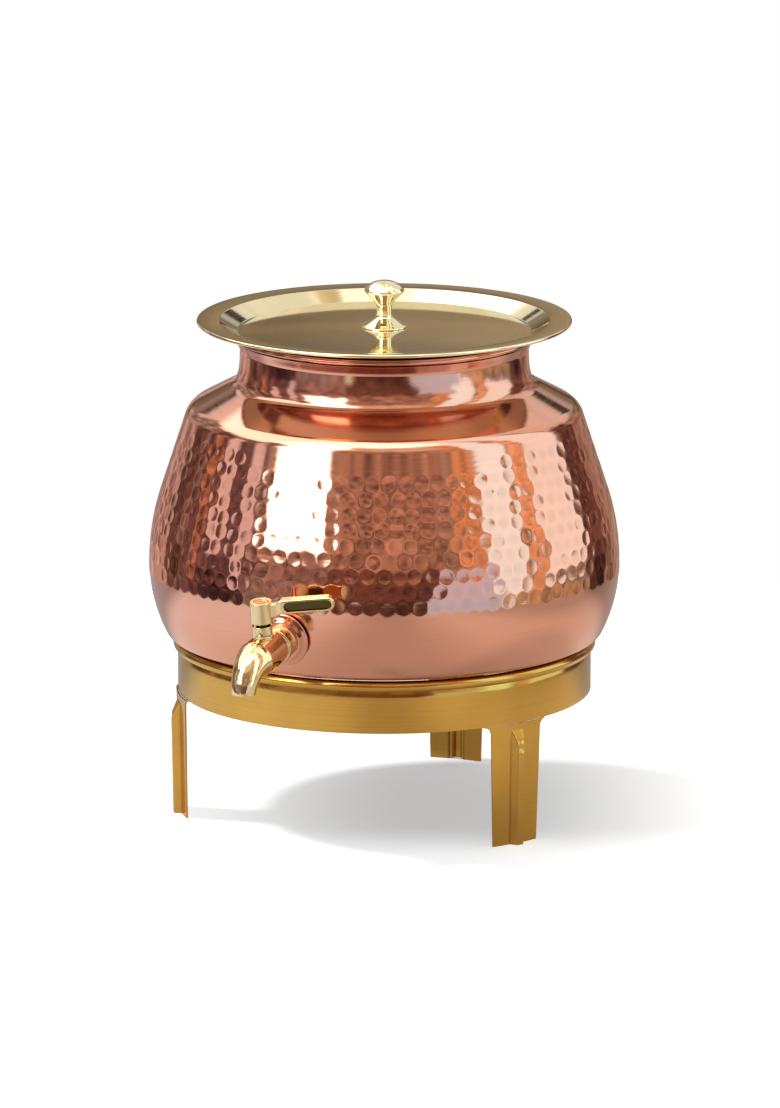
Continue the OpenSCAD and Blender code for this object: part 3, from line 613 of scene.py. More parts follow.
def hammer_marks(along, turn, radius, pot):
    """Depth of the hammer marks at a distance along the wall and a turn: the deepest of the round hollows
    depth (1 - d^2 / r^2) around it, d being the distance from the hollow's middle. Rows are staggered, and each
    hollow is moved, sized and deepened a little by chance. The lowest row is shallower, and the highest leaves out
    the front."""
    circle = 2 * np.pi
    rows = int((LAST_ROW - FIRST_ROW) / pot.row_pitch) + 1
    nearest = np.rint((along - FIRST_ROW) / pot.row_pitch)
    depth = np.zeros(np.broadcast(along, turn).shape)
    for shift in (-1, 0, 1):
        row = np.clip(nearest + shift, 0, rows - 1)
        row_at = FIRST_ROW + row * pot.row_pitch
        ring = np.interp(row_at, along[:, 0], radius[:, 0])
        count = np.rint(circle * ring / pot.mark_pitch)
        start = (row % 2) * 0.5 + ROW_START * chance(row, row, 1)
        row_depth = pot.mark_depth * np.where(row == 0, LOW_ROW_SHARE, 1.0)
        cell = turn / circle * count - start
        for step in (-1, 0, 1):
            k = np.mod(np.rint(cell) + step, count)
            across = (np.rint(cell) + step - cell + TURN_PLAY * (chance(row, k, 2) - 0.5)) / count * circle * radius
            up = along - row_at + RISE_PLAY * (chance(row, k, 3) - 0.5)
            size = pot.mark_r * (SIZE_LEAST + SIZE_PLAY * chance(row, k, 4))
            bare = np.cos((k + start) / count * circle - BARE_MID) > math.cos(BARE_HALF)
            deep = row_depth * (DEPTH_LEAST + DEPTH_PLAY * chance(row, k, 5))
            deep = np.where(bare & (row == rows - 1), 0.0, deep)
            depth = np.maximum(depth, deep * (1 - (across**2 + up**2) / size**2))
    return depth


class DISPENSER_OT_pot(bpy.types.Operator):
    """Makes the pot: hammered wall, and the smooth bottom, shoulder, neck, lip and inside"""

    bl_idname = "dispenser.pot"
    bl_label = "Pot"

    def execute(self, context):
        pot = context.scene.dispenser_pot
        line, along = wall_line(112)
        slope = np.gradient(line, axis=0, edge_order=2)
        slope /= np.linalg.norm(slope, axis=1, keepdims=True)
        turn = np.linspace(0, 2 * np.pi, pot.columns, endpoint=False)[None]
        depth = hammer_marks(along[:, None], turn, line[:, :1], pot)
        out = np.stack([slope[:, 1], -slope[:, 0]], axis=-1)
        r = line[:, :1] - depth * out[:, :1]
        z = line[:, 1:] - depth * out[:, 1:]
        wall = np.stack([r * np.cos(turn), r * np.sin(turn), z], axis=-1)
        # Painted shade: the mark is the hammer mark's depth, so deeper parts are painted darker.
        sheet = Sheet(wall, mark=depth / pot.mark_depth)
        make_piece("pot_hammered_wall", [sheet], finish("hammered copper"), "pot", ["pot_body"], fine=True)

        columns = pot.columns // 2
        bottom, corner_a = pot_bottom(0)
        under = chain(bottom, arc(LOWER_MID, LOWER_R, corner_a, WALL_START_A, 24))
        top = pot_face()
        in_lip = np.linalg.norm(top - LIP_MID, axis=1) < LIP_R
        top = top[: np.argmax(in_lip)]
        roll_a = math.degrees(math.atan2(*(top[-1] - LIP_MID)[::-1])) % 360 - 360
        inner_bottom, inner_a = pot_bottom(POT_WALL)
        inside = chain(
            arc(LIP_MID, LIP_R, roll_a, 180 - FLARE_ANGLE, 36),
            pot_top(POT_WALL)[::-1],
            arc(UPPER_MID, UPPER_R - POT_WALL, SIDE_LEAN, 0, 20),
            arc(LOWER_MID, LOWER_R - POT_WALL, 0, inner_a, 24),
            inner_bottom[::-1],
        )
        # Painted shade: the shell's lowest rows, in the gap above the stand's bead, turn dark red.
        bead_top, gap_shade_full, gap_shade_end = BEAD_MID[1] + BEAD_R, 0.5, 2.0
        gap_shade = 1 - smooth_step(under[:, 1], bead_top + gap_shade_full, bead_top + gap_shade_end)
        sheets = [lathe_sheet(under, columns, gap_shade), lathe_sheet(top, columns), lathe_sheet(inside, columns)]
        make_piece("pot_smooth_shell", sheets, finish("spun copper"), "pot", [], fine=True)
        return {"FINISHED"}


# Lid


class DISPENSER_OT_lid(bpy.types.Operator):
    """Makes the lid's plate and knob"""

    bl_idname = "dispenser.lid"
    bl_label = "Lid"

    def execute(self, context):
        crown_r = (FLOOR_R**2 + LID_CROWN**2) / (2 * LID_CROWN)
        crown_mid = np.array([0, FLOOR_Z + LID_CROWN - crown_r])
        edge_a = math.degrees(math.acos(FLOOR_R / crown_r))
        wall_a, bend, rim_rise, crown_gap, hem_rows, columns = 90 + LID_SLOPE, 1.5, 3.0, 0.06, 4, 320

        def face(inset):
            """Floor, wall and rim of the dish, drawn in by inset."""
            return chain(
                arc(crown_mid, crown_r - inset, 90, edge_a + crown_gap, 40),
                inner_corner([FLOOR_R, FLOOR_Z], edge_a, wall_a, bend, inset, 10),
                outer_corner([RIM_IN_R, RIM_Z], wall_a, 90 + rim_rise, bend, inset, 10),
            )

        hem_r = LID_HEM / 2
        rise = (LID_RIM_W - hem_r) * math.tan(math.radians(rim_rise))
        hem_mid = np.array([LID_R - hem_r, RIM_Z + rise - hem_r])
        hem_end = -180 - math.degrees(math.asin((hem_r - LID_SHEET) / hem_r))
        below = face(LID_SHEET)
        section = chain(below, arc(hem_mid, hem_r, hem_end, 90, 24), face(0)[::-1])
        section[0, 0] = section[-1, 0] = 0.0
        # Painted shade and painted reflection: the dish's underside and the hem's first rows take a darker, redder
        # brass, standing in for shade and the copper's reflection under the lid.
        under = (np.arange(len(section)) < len(below) + hem_rows).astype(float)
        dish, brass = lathe_sheet(section, columns, under), finish("lid brass")
        make_piece("lid_dish", [dish], brass, "lid", ["lid_plate"], sharp=40)

        rim_h, foot_h, waist_top, head_z = 0.9, KNOB_H * 0.25, KNOB_H * 0.44, KNOB_H * 0.78
        brim_in, brim_out = [KNOB_HEAD_R * 0.93, head_z - 1.3], [KNOB_HEAD_R * 0.965, head_z + 1.1]
        knob = chain(
            np.array([[0.0, 0.0]]),
            rounded([[1, 0], [KNOB_FOOT_R, 0], [KNOB_FOOT_R, rim_h], [KNOB_FOOT_R - 2, rim_h + 0.9]], 0.45),
            cubic(
                [KNOB_FOOT_R - 2.2, rim_h + 1.0],
                [KNOB_FOOT_R * 0.58, foot_h * 0.56],
                [KNOB_WAIST_R, foot_h * 0.78],
                [KNOB_WAIST_R, foot_h * 1.1],
                24,
            ),
            cubic(
                [KNOB_WAIST_R, waist_top],
                [KNOB_WAIST_R, KNOB_H * 0.53],
                [KNOB_HEAD_R * 0.72, KNOB_H * 0.64],
                brim_in,
                28,
            ),
            cubic(brim_in, [KNOB_HEAD_R * 1.01, head_z - 0.5], [KNOB_HEAD_R * 1.02, head_z + 0.3], brim_out, 12),
            cubic(brim_out, [KNOB_HEAD_R * 0.86, KNOB_H * 0.9], [KNOB_HEAD_R * 0.5, KNOB_H], [0.0, KNOB_H], 28),
        )
        knob[:, 1] += KNOB_Z
        knob_sheet = lathe_sheet(knob, 128)
        make_piece("lid_turned_knob", [knob_sheet], brass, "lid", ["lid_knob"], sharp=50)
        return {"FINISHED"}


# Stand


def leg_sheet(side):
    """One face of a leg: turn across and height along, radius = the leaning cone's plus the rib's height. The rib's
    height is the least of its crest, its two flanks and its upper ramp, rounded where they meet, and has a dent below
    the ramp. Also gives the mark of the painted shade along the rib's foot."""
    beside, rib_share, low, ramp_from = 0.34, 0.32, 58, 60
    crest_soft, foot_soft, rib_shade_w, rib_shade_end, rib_shade_full = 0.7, 0.5, 0.6, 4.0, 14.0
    across = np.concatenate(
        [np.linspace(-1, -beside, 12), np.linspace(-rib_share, rib_share, 49), np.linspace(beside, 1, 12)]
    )
    up = np.concatenate([np.linspace(0, low, 12), np.linspace(ramp_from, LEG_H, 40)])[:, None]
    half = LEG_FOOT_W / 2 + (LEG_TOP_W - LEG_FOOT_W) / 2 * up / LEG_H
    rise = np.clip(up - (LEG_H - LEG_FILLET), 0, LEG_FILLET)
    half = half + LEG_FILLET - np.sqrt(LEG_FILLET**2 - rise**2)
    y = across[None] * half
    inset = STAND_SHEET if side < 0 else 0.0
    flank = (RIB_BASE_W - RIB_CREST_W) / 2 / RIB_H
    ramp = RIB_RAMP / RIB_H
    wall = (RIB_BASE_W / 2 - inset * math.hypot(1, flank) - np.abs(y)) / flank
    slope = (LEG_H - RIB_GAP - inset * math.hypot(1, ramp) - up) / ramp
    crest = np.full_like(y, RIB_H - inset)
    rib = soft_min(soft_min(crest, wall, crest_soft), slope, crest_soft)
    rib = -soft_min(-rib, np.full_like(y, inset if side > 0 else -inset), foot_soft)
    if side > 0:
        rib = rib - DENT_DEPTH * np.exp(-((y / DENT_W) ** 2) - ((up - DENT_Z) / DENT_L) ** 2)
    foot_r = BAND_R - LEG_H * math.tan(math.radians(LEG_LEAN))
    cone = foot_r + (BAND_R - foot_r) * up / LEG_H
    r = cone + rib
    t = y / BAND_R
    # Painted shade: a dark band along both sides of the rib's foot, fading out below the ramp.
    rib_shade = np.exp(-(((np.abs(y) - RIB_BASE_W / 2) / rib_shade_w) ** 2))
    rib_shade = rib_shade * smooth_step(LEG_H - RIB_GAP - up, rib_shade_end, rib_shade_full)
    return np.stack([r * np.cos(t), r * np.sin(t), np.broadcast_to(up, y.shape)], axis=-1), rib_shade


def leg_sheets(turn):
    """Outer and inner face of a leg and the edge that closes them, turned about Z."""
    (outer, rib_shade), (inner, _) = leg_sheet(1), leg_sheet(-1)

    def rim(grid):
        """Points round the edge of a grid."""
        return np.concatenate([grid[0, :-1], grid[:-1, -1], grid[-1, :0:-1], grid[:0:-1, 0]])

    edge = np.stack([rim(inner), rim(outer)])
    place = turn_about_z(turn)
    return [
        Sheet(outer @ place.T, wrap=False, mark=RIB_SHADE_SHARE * rib_shade),
        Sheet(inner[:, ::-1] @ place.T, wrap=False),
        Sheet(edge @ place.T, wrap=True),
    ]


class DISPENSER_OT_stand(bpy.types.Operator):
    """Makes the stand's band with its rolled bead, and its legs"""

    bl_idname = "dispenser.stand"
    bl_label = "Stand"

    def execute(self, context):
        inner, bead_low, edge = BAND_R - STAND_SHEET, BEAD_MID[1] - BEAD_R, LEG_H + 2
        join = math.degrees(math.asin(STAND_SHEET / 2 / BEAD_R))
        band = chain(
            rounded([[inner, edge], [inner, LEG_H], [BAND_R, LEG_H], [BAND_R, edge]], 0.3),
            straight([BAND_R, LEG_H + 4], [BAND_R, bead_low - SWAGE_H], 8),
            cubic(
                [BAND_R, bead_low - SWAGE_H],
                [BAND_R, bead_low - 0.6 * SWAGE_H],
                [BAND_R - 0.3 * SWAGE_IN, bead_low - 0.4 * SWAGE_H],
                [BAND_R - SWAGE_IN, bead_low + 0.2],
                10,
            ),
            arc(BEAD_MID, BEAD_R, -90 + join, 270 - join, 64),
            straight([inner, bead_low - 1], [inner, edge], 8),
        )
        sheets = [lathe_sheet(band, 512)]
        for leg in range(LEGS):
            sheets += leg_sheets(90 + STAND_TURN + 360 / LEGS * leg)
        make_piece("stand_sheet", sheets, finish("stand brass"), "stand", ["stand_ring"], sharp=50)
        return {"FINISHED"}


# Tap


def spout_sheet():
    """Horn of the tap: circles carried from its rounded back along a straight line and an arc, then back into the
    outlet's bore. The radius shrinks along the bend with a power of the way left and rounds at the lip."""
    bend_s, back_s = VALVE_REACH + BEND_START, VALVE_REACH - HORN_LAP
    back = HORN_ROUND * unit(np.linspace(0, 90, 9))
    line_s = np.linspace(back_s + HORN_ROUND, bend_s, 14)[1:-1]
    bend_a = np.linspace(0, BEND_ANGLE, 64)
    taper = OUTLET_R + (HORN_R - OUTLET_R) * (1 - bend_a / BEND_ANGLE) ** HORN_TAPER
    lip = unit(np.linspace(90, -90, 13))
    lip_half, lip_round = (OUTLET_R - OUTLET_BORE_R) / 2, 0.8
    lip_s = lip_round * (lip[:, 0] - 1)
    bore_s = np.linspace(-lip_round, -OUTLET_BORE_L, 6)[1:]
    radius = np.concatenate(
        [
            [0.0],
            HORN_R - HORN_ROUND + back[:, 1],
            np.full(len(line_s), HORN_R),
            taper[:-1],
            OUTLET_R - lip_half + lip_half * lip[:, 1],
            np.full(len(bore_s), OUTLET_BORE_R),
            [0.0],
        ]
    )
    root_s = np.concatenate([[back_s], back_s + HORN_ROUND - back[:, 0], line_s]) - bend_s
    past = np.concatenate([lip_s, bore_s, bore_s[-1:]])
    angle = np.concatenate([np.zeros(len(root_s)), bend_a[:-1], np.full(len(past), BEND_ANGLE)])
    ahead = np.concatenate([root_s, np.zeros(len(bend_a) - 1), past])
    a = np.radians(angle)[:, None]
    t = np.linspace(0, 2 * np.pi, 96, endpoint=False)[None]
    reach = BEND_R + radius[:, None] * np.cos(t)
    y = -bend_s - reach * np.sin(a) - ahead[:, None] * np.cos(a)
    z = HORN_UP + reach * np.cos(a) - BEND_R - ahead[:, None] * np.sin(a)
    return np.stack([radius[:, None] * np.sin(-t), y, z], axis=-1)


class DISPENSER_OT_tap(bpy.types.Operator):
    """Makes the tap's body, flange and bonnet"""

    bl_idname = "dispenser.tap"
    bl_label = "Tap"

    def execute(self, context):
        front = SEAL_T + FLANGE_T
        brass = finish("tap brass")
        collar = rounded(
            [
                [0, -TAIL_L],
                [TAIL_R, -TAIL_L],
                [TAIL_R, front],
                [COLLAR_R, front],
                [COLLAR_R, front + COLLAR_L],
                [BODY_R, front + COLLAR_L],
                [BODY_R, VALVE_REACH],
                [0, VALVE_REACH],
            ],
            0.7,
        )
        lay = tap_place(upright=False)
        collar_sheet = Sheet(turned_to(lathe(collar, 128), np.linalg.inv(tap_place()) @ lay))
        boss_r = BONNET_R + 0.4
        boss = rounded(
            [[boss_r + 1.2, BOSS_TOP - 4.6], [boss_r, BOSS_TOP - 2.4], [boss_r, BOSS_TOP], [0, BOSS_TOP]], 0.5
        )
        boss_sheet = Sheet(lathe(boss, 96) + np.array([0, -VALVE_REACH, 0]))
        sheets = [Sheet(spout_sheet()), collar_sheet, boss_sheet]
        make_piece("tap_cast_body", sheets, brass, "pot", ["tap_body"], sharp=40, place=tap_place())

        skin, bore = 0.05, TAIL_R + 0.1
        flange = rounded(
            [
                [bore, skin],
                [FLANGE_R, skin],
                [FLANGE_R, 1.5],
                [FLANGE_R - 2.6, 2.3],
                [COLLAR_R + 1, FLANGE_T - skin],
                [bore, FLANGE_T - skin],
            ],
            0.7,
        )
        flange[:, 1] += SEAL_T
        disc, copper = lathe_sheet(flange, 160), finish("spun copper")
        make_piece("tap_cover_disc", [disc], copper, "pot", ["tap_flange"], sharp=40, place=lay)

        screwed_r, screwed_z = 5.4, 7
        bonnet = rounded(
            [
                [0, screwed_z],
                [screwed_r, screwed_z],
                [screwed_r, BONNET_BASE],
                [BONNET_R, BONNET_BASE],
                [BONNET_R, BONNET_TOP],
                [0, BONNET_TOP],
            ],
            0.5,
        )
        # Painted shade on the bonnet's top face, under the hub.
        top_face = (bonnet[:, 1] > BONNET_TOP - 0.05) & (bonnet[:, 0] < BONNET_R - 0.3)
        cap = lathe_sheet(bonnet, 96, top_face.astype(float))
        make_piece("tap_bonnet", [cap], brass, "pot", ["bonnet"], sharp=40, place=tap_place(VALVE_REACH))
        return {"FINISHED"}


def hub_sheet():
    """Hub and its marks: a lathe whose lower edge is raised over the stop's slit, with a round recess in its top. Its
    underside, up into the slit, has the mark 1, which paints shade there."""
    columns, pin_room, slit_end, chamfer = 240, 13.5, 0.8, 0.4
    t = np.linspace(0, 360, columns, endpoint=False)
    low, high = STOP_TURN - pin_room, STOP_TURN + LEVER_TRAVEL + pin_room
    away = np.abs((t - (low + high) / 2 + 180) % 360 - 180)
    raised = SLIT_H * smooth_step((high - low) / 2 - away, -slit_end, slit_end)
    core = BONNET_R - 2
    lower = np.array([[0, 0], [core, 0], [core, 0], [HUB_R - chamfer, 0], [HUB_R, chamfer]], dtype=float)
    lift = np.array([0, 0, 1, 1, 1])[:, None] * raised[None]
    upper = rounded(
        [
            [HUB_R, 2.5],
            [HUB_R, HUB_H],
            [RECESS_R, HUB_H],
            [RECESS_R, HUB_H - RECESS_DEPTH],
            [0, HUB_H - RECESS_DEPTH],
        ],
        0.8,
    )
    line = np.concatenate([lower, upper])
    lift = np.concatenate([lift, np.zeros((len(upper), columns))])
    grid = lathe(line, columns)
    grid[..., 2] += lift + HUB_BASE
    mark = np.zeros(grid.shape[:2])
    mark[: len(lower) - 1] = 1.0
    return Sheet(grid, mark=mark)


def lever_sheet():
    """Lever and its marks: rounded rectangles carried along X. Half height and half thickness follow the neck, the
    paddle and the round tip, the neck lies a step lower, and both sides are sunk inside the pocket's round-ended
    outline, where the mark is 1 and the pocket gets painted shade."""
    tip, half_h, half_t, tip_fine = LEVER_L, LEVER_H / 2, PADDLE_T / 2, 4
    edge, margin, swell_from, swell_to = 1.3, 2, PADDLE_START - 3.5, PADDLE_START + 0.5
    x = np.concatenate([np.linspace(0, PADDLE_START - 1, 40), np.linspace(PADDLE_START - 0.8, tip - tip_fine, 190)])
    x = np.concatenate([x, tip - tip_fine * (1 - np.sin(np.linspace(0, 90, 30)[1:] * np.pi / 180))])[:, None]
    past_h = np.clip(x - (tip - half_h), 0, half_h)
    past_t = np.clip(x - (tip - half_t), 0, half_t)
    high = np.sqrt(np.maximum(half_h**2 - past_h**2, 0))
    thick = (NECK_T + (PADDLE_T - NECK_T) * smooth_step(x, swell_from, swell_to)) / 2
    thick = thick * np.sqrt(np.maximum(1 - (past_t / half_t) ** 2, 0))
    corner = np.minimum(edge, np.minimum(high, thick))
    flat_t, flat_h = thick - corner, high - corner
    side_w, turn_w, top_w, pocket_wall, skin = 0.42, 0.16, 0.58, 0.35, 0.05

    def quarter_line(w):
        """Thickness and height along a quarter of the outline: up the side, round the corner, along the top."""
        a = np.radians(np.clip((w - side_w) / turn_w, 0, 1) * 90)
        up, along = np.clip(w / side_w, 0, 1), np.clip((w - top_w) / side_w, 0, 1)
        out = thick * (w < side_w) + (flat_t + corner * np.cos(a)) * (w >= side_w) - flat_t * along
        return out, flat_h * up + corner * np.sin(a)

    v = np.linspace(0, 4, 240, endpoint=False)[None]
    quarter = np.floor(v)
    w = v - quarter
    (out, up), (back_out, back_up) = quarter_line(w), quarter_line(1 - w)
    backwards = (quarter % 2) == 1
    y = np.where((quarter == 0) | (quarter == 3), 1.0, -1.0) * np.where(backwards, back_out, out)
    z = np.where(quarter < 2, 1.0, -1.0) * np.where(backwards, back_up, up)
    mid = POCKET_H / 2
    lo, hi = PADDLE_START + margin + mid, tip - margin - mid
    inside = mid - np.hypot(x - np.clip(x, lo, hi), z)
    sunk = smooth_step(inside, 0.0, pocket_wall) * (np.abs(y) > thick - skin)
    y = y - np.sign(y) * POCKET_DEPTH * sunk
    z = z - PADDLE_STEP * (1 - smooth_step(x, HUB_R, PADDLE_START + 1.5))
    rise = math.radians(LEVER_RISE)
    mid_z = HUB_BASE + HUB_H * LEVER_SHARE
    c, s = math.cos(rise), math.sin(rise)
    grid = np.stack([x * c - z * s, y, mid_z + x * s + z * c], axis=-1)
    return Sheet(grid @ turn_about_z(LEVER_TURN).T, mark=sunk)


class DISPENSER_OT_lever(bpy.types.Operator):
    """Makes the lever with its hub"""

    bl_idname = "dispenser.lever"
    bl_label = "Lever"

    def execute(self, context):
        sheets, brass, place = [hub_sheet(), lever_sheet()], finish("tap brass"), tap_place(VALVE_REACH)
        make_piece("tap_lever", sheets, brass, "lever", ["lever_handle"], sharp=40, place=place)
        return {"FINISHED"}


# Stage


def window_group():
    """Mask of a soft-edged window in the surroundings, between two turns and two heights in degrees."""
    names = ("Turn", "Height", "From", "To", "Low", "High", "Edge")
    tree, given, made = new_group("window", dict.fromkeys(names, 5.0), ("Mask",))
    mask = 1.0
    for value, low, high in (("Turn", "From", "To"), ("Height", "Low", "High")):
        edge_in = math_node(tree, "ADD", given[low], given["Edge"])
        edge_out = math_node(tree, "SUBTRACT", given[high], given["Edge"])
        rise = map_range(tree, given[value], given[low], edge_in, smooth=True)
        fall = map_range(tree, given[value], edge_out, given[high], 1.0, 0.0, smooth=True)
        mask = math_node(tree, "MULTIPLY", math_node(tree, "MULTIPLY", mask, rise), fall)
    tree.links.new(mask, made["Mask"])
    return tree


# What the metal mirrors, later rows over earlier ones: turn from and to, low and high end and soft edge in degrees as
# seen from the camera's side, and colour
WINDOWS = (
    (-31, 36, -40, 42, 6.0, (0.44, 0.31, 0.24)),
    (-31, 36, -12, 7, 3.0, (0.20, 0.11, 0.085)),
    (-181, 181, 54, 91, 8.0, (1.60, 1.56, 1.50)),
    (-100, 66, 38, 91, 5.0, (3.3, 3.2, 3.2)),
    (-28, 44, 34, 60, 5.0, (0.95, 0.80, 0.68)),
    (158, 184, -40, 15, 3.0, (0.25, 0.185, 0.12)),
    (-184, -158, -40, 15, 3.0, (0.25, 0.185, 0.12)),
    (158, 184, -40, 9, 4.0, (0.12, 0.085, 0.048)),
    (-184, -158, -40, 9, 4.0, (0.12, 0.085, 0.048)),
    (118, 184, 16, 62, 4.0, (0.95, 0.93, 0.88)),
    (-184, -150, 16, 62, 4.0, (0.95, 0.93, 0.88)),
    (144, 158, 60, 73, 2.0, (0.62, 0.50, 0.33)),
    (159, 164, 16, 25, 1.0, (0.03, 0.02, 0.01)),
    (-164, -159, 16, 25, 1.0, (0.03, 0.02, 0.01)),
    (-165, -80, 30, 76, 5.0, (2.4, 2.35, 2.3)),
    (-162, -138, -24, 13, 4.0, (0.55, 0.42, 0.38)),
    (-184, -138, -45, 3, 4.0, (0.50, 0.36, 0.32)),
    (-138, -118, -45, 13, 4.0, (0.16, 0.10, 0.08)),
    (-120, -66, -40, 28, 4.0, (0.17, 0.11, 0.12)),
    (-81, -73, -20, 30, 1.5, (0.95, 0.95, 1.05)),
    (-100, -91, 0, 26, 2.0, (0.95, 0.92, 0.98)),
    (-112, -104, -10, 20, 2.0, (0.50, 0.28, 0.18)),
    (-66, -31, -40, 12, 3.0, (0.34, 0.25, 0.23)),
    (-66, -31, 10, 60, 2.0, (5.5, 5.4, 5.3)),
    (36, 53, -40, 60, 2.0, (0.85, 0.52, 0.28)),
    (52, 77, -14, 70, 2.0, (1.26, 1.85, 2.15)),
    (77, 86, -14, 70, 2.0, (0.95, 0.62, 0.36)),
    (86, 117, -6, 70, 2.0, (1.26, 1.60, 1.75)),
    (117, 142, -40, 28, 5.0, (0.17, 0.09, 0.07)),
    (138, 162, -24, 13, 4.0, (0.35, 0.24, 0.19)),
    (138, 184, -45, 3, 4.0, (0.38, 0.26, 0.20)),
    (25, 56, -16, 5, 1.5, (0.78, 0.98, 1.35)),
    (-106, -73, -40, -7, 3.0, (0.06, 0.036, 0.04)),
    (-73, -36, -40, -7, 3.0, (0.32, 0.32, 0.36)),
    (-32, -25, -40, -7, 1.0, (0.95, 1.25, 1.10)),
    (-24, 18, -40, -7, 2.0, (0.09, 0.05, 0.04)),
    (18, 61, -40, -7, 2.0, (0.70, 1.00, 1.40)),
    (61, 118, -40, -7, 3.0, (0.55, 0.47, 0.30)),
    (118, 142, -40, -7, 3.0, (0.06, 0.04, 0.035)),
)


ROOM_GREY, EVEN_LIGHT, EVEN_STRENGTH = (0.34, 0.32, 0.29), (1.0, 0.99, 0.98, 1.0), 0.30
WARP_SCALE, WARP_DEGREES = 5.0, 15.0
MOTTLE_SCALE, MOTTLE_LOW, MOTTLE_HIGH, CALM_FROM, CALM_FULL = 10.0, 0.25, 1.9, 0.35, 1.0


def seen_from(tree, where, azimuth):
    """Coordinates turned to the camera: X to its right, Y away from it. Returns the vector and its three parts."""
    inputs = {"Vector": where, "Angle": -math.radians(azimuth)}
    turned = add_node(tree, "ShaderNodeVectorRotate", inputs, rotation_type="Z_AXIS").outputs[0]
    return turned, add_node(tree, "ShaderNodeSeparateXYZ", {0: turned}).outputs


def make_world(azimuth):
    """Surroundings: a grey room with bright and dark windows round the object, warped and mottled by noise, an even
    light on the floor, and white to the camera."""
    world = bpy.data.worlds.new("studio")
    bpy.context.scene.world = world
    world.use_nodes = True
    tree = world.node_tree
    tree.nodes.clear()
    turned, xyz = seen_from(tree, tree.nodes.new("ShaderNodeTexCoord").outputs["Generated"], azimuth)
    ahead = math_node(tree, "MULTIPLY", xyz["Y"], -1.0)
    warp = add_node(tree, "ShaderNodeTexNoise", {"Vector": turned, "Scale": WARP_SCALE, "Detail": 2.0})
    shift = add_node(tree, "ShaderNodeSeparateXYZ", {0: warp.outputs["Color"]}).outputs
    angles = {}
    for name, part, plain in (
        ("Turn", "X", math_node(tree, "ARCTAN2", xyz["X"], ahead)),
        ("Height", "Y", math_node(tree, "ARCSINE", xyz["Z"])),
    ):
        play = math_node(tree, "SUBTRACT", shift[part], 0.5)
        angles[name] = math_node(tree, "MULTIPLY_ADD", play, WARP_DEGREES, math_node(tree, "DEGREES", plain))
    group = window_group()
    colour = ROOM_GREY
    for *limits, tint in WINDOWS:
        places = dict(zip(("From", "To", "Low", "High", "Edge"), map(float, limits)))
        mask = group_node(tree, group, {**angles, **places})
        colour = mix_colour(tree, mask.outputs["Mask"], colour, tint)
    mottle = add_node(tree, "ShaderNodeTexNoise", {"Vector": turned, "Scale": MOTTLE_SCALE, "Detail": 3.0})
    level = map_range(tree, mottle.outputs[0], 0.3, 0.7, MOTTLE_LOW, MOTTLE_HIGH)
    luma = add_node(tree, "ShaderNodeRGBToBW", {0: colour}).outputs[0]
    calm = map_range(tree, luma, CALM_FROM, CALM_FULL)
    level = math_node(tree, "ADD", level, math_node(tree, "MULTIPLY", calm, math_node(tree, "SUBTRACT", 1.0, level)))
    room = add_node(tree, "ShaderNodeBackground", {"Color": colour, "Strength": level}).outputs[0]
    even = add_node(tree, "ShaderNodeBackground", {"Color": EVEN_LIGHT, "Strength": EVEN_STRENGTH}).outputs[0]
    white = add_node(tree, "ShaderNodeBackground", {"Color": (1.0, 1.0, 1.0, 1.0), "Strength": 1.0}).outputs[0]
    light = tree.nodes.new("ShaderNodeLightPath").outputs
    seen = add_node(tree, "ShaderNodeMixShader", {0: light["Is Glossy Ray"], 1: even, 2: room}).outputs[0]
    both = add_node(tree, "ShaderNodeMixShader", {0: light["Is Camera Ray"], 1: seen, 2: white}).outputs[0]
    tree.links.new(both, tree.nodes.new("ShaderNodeOutputWorld").inputs["Surface"])


# Floor: its disc and the places where its own white changes, in metres from the object's middle (right and away from
# the camera positive), and that white's strength and tint, to the camera and to the metal
FLOOR_REACH, FLOOR_AHEAD, FLOOR_SIDES = 0.76, 0.05, 128
FLOOR_COLOUR, FLOOR_TO_METAL = (0.86, 0.86, 0.86), (0.25, 0.235, 0.22)
SHADOW_MID, MIRROR_MID, FADE_FROM, FADE_TO = 0.045, 0.02, 0.02, 0.27
FRONT, BEHIND, LEFT, RIGHT = (-0.055, -0.15), (0.14, 0.34), (-0.10, -0.40), (0.40, 0.60)
SEEN_LEAST, SEEN_GAIN, SEEN_FRONT = 0.43, 0.57, 0.29
MIRROR_LEAST, MIRROR_GAIN, MIRROR_LEFT, MIRROR_RIGHT, MIRROR_BEHIND = 0.34, 0.25, 0.22, -0.28, 0.3
SHADOW_TINT, WHITE, MIRROR_TINT, LEFT_TINT = (0.96, 1.01, 1.02), (1.0, 1.0, 1.0), (1.03, 0.97, 0.88), (0.90, 1.0, 1.10)


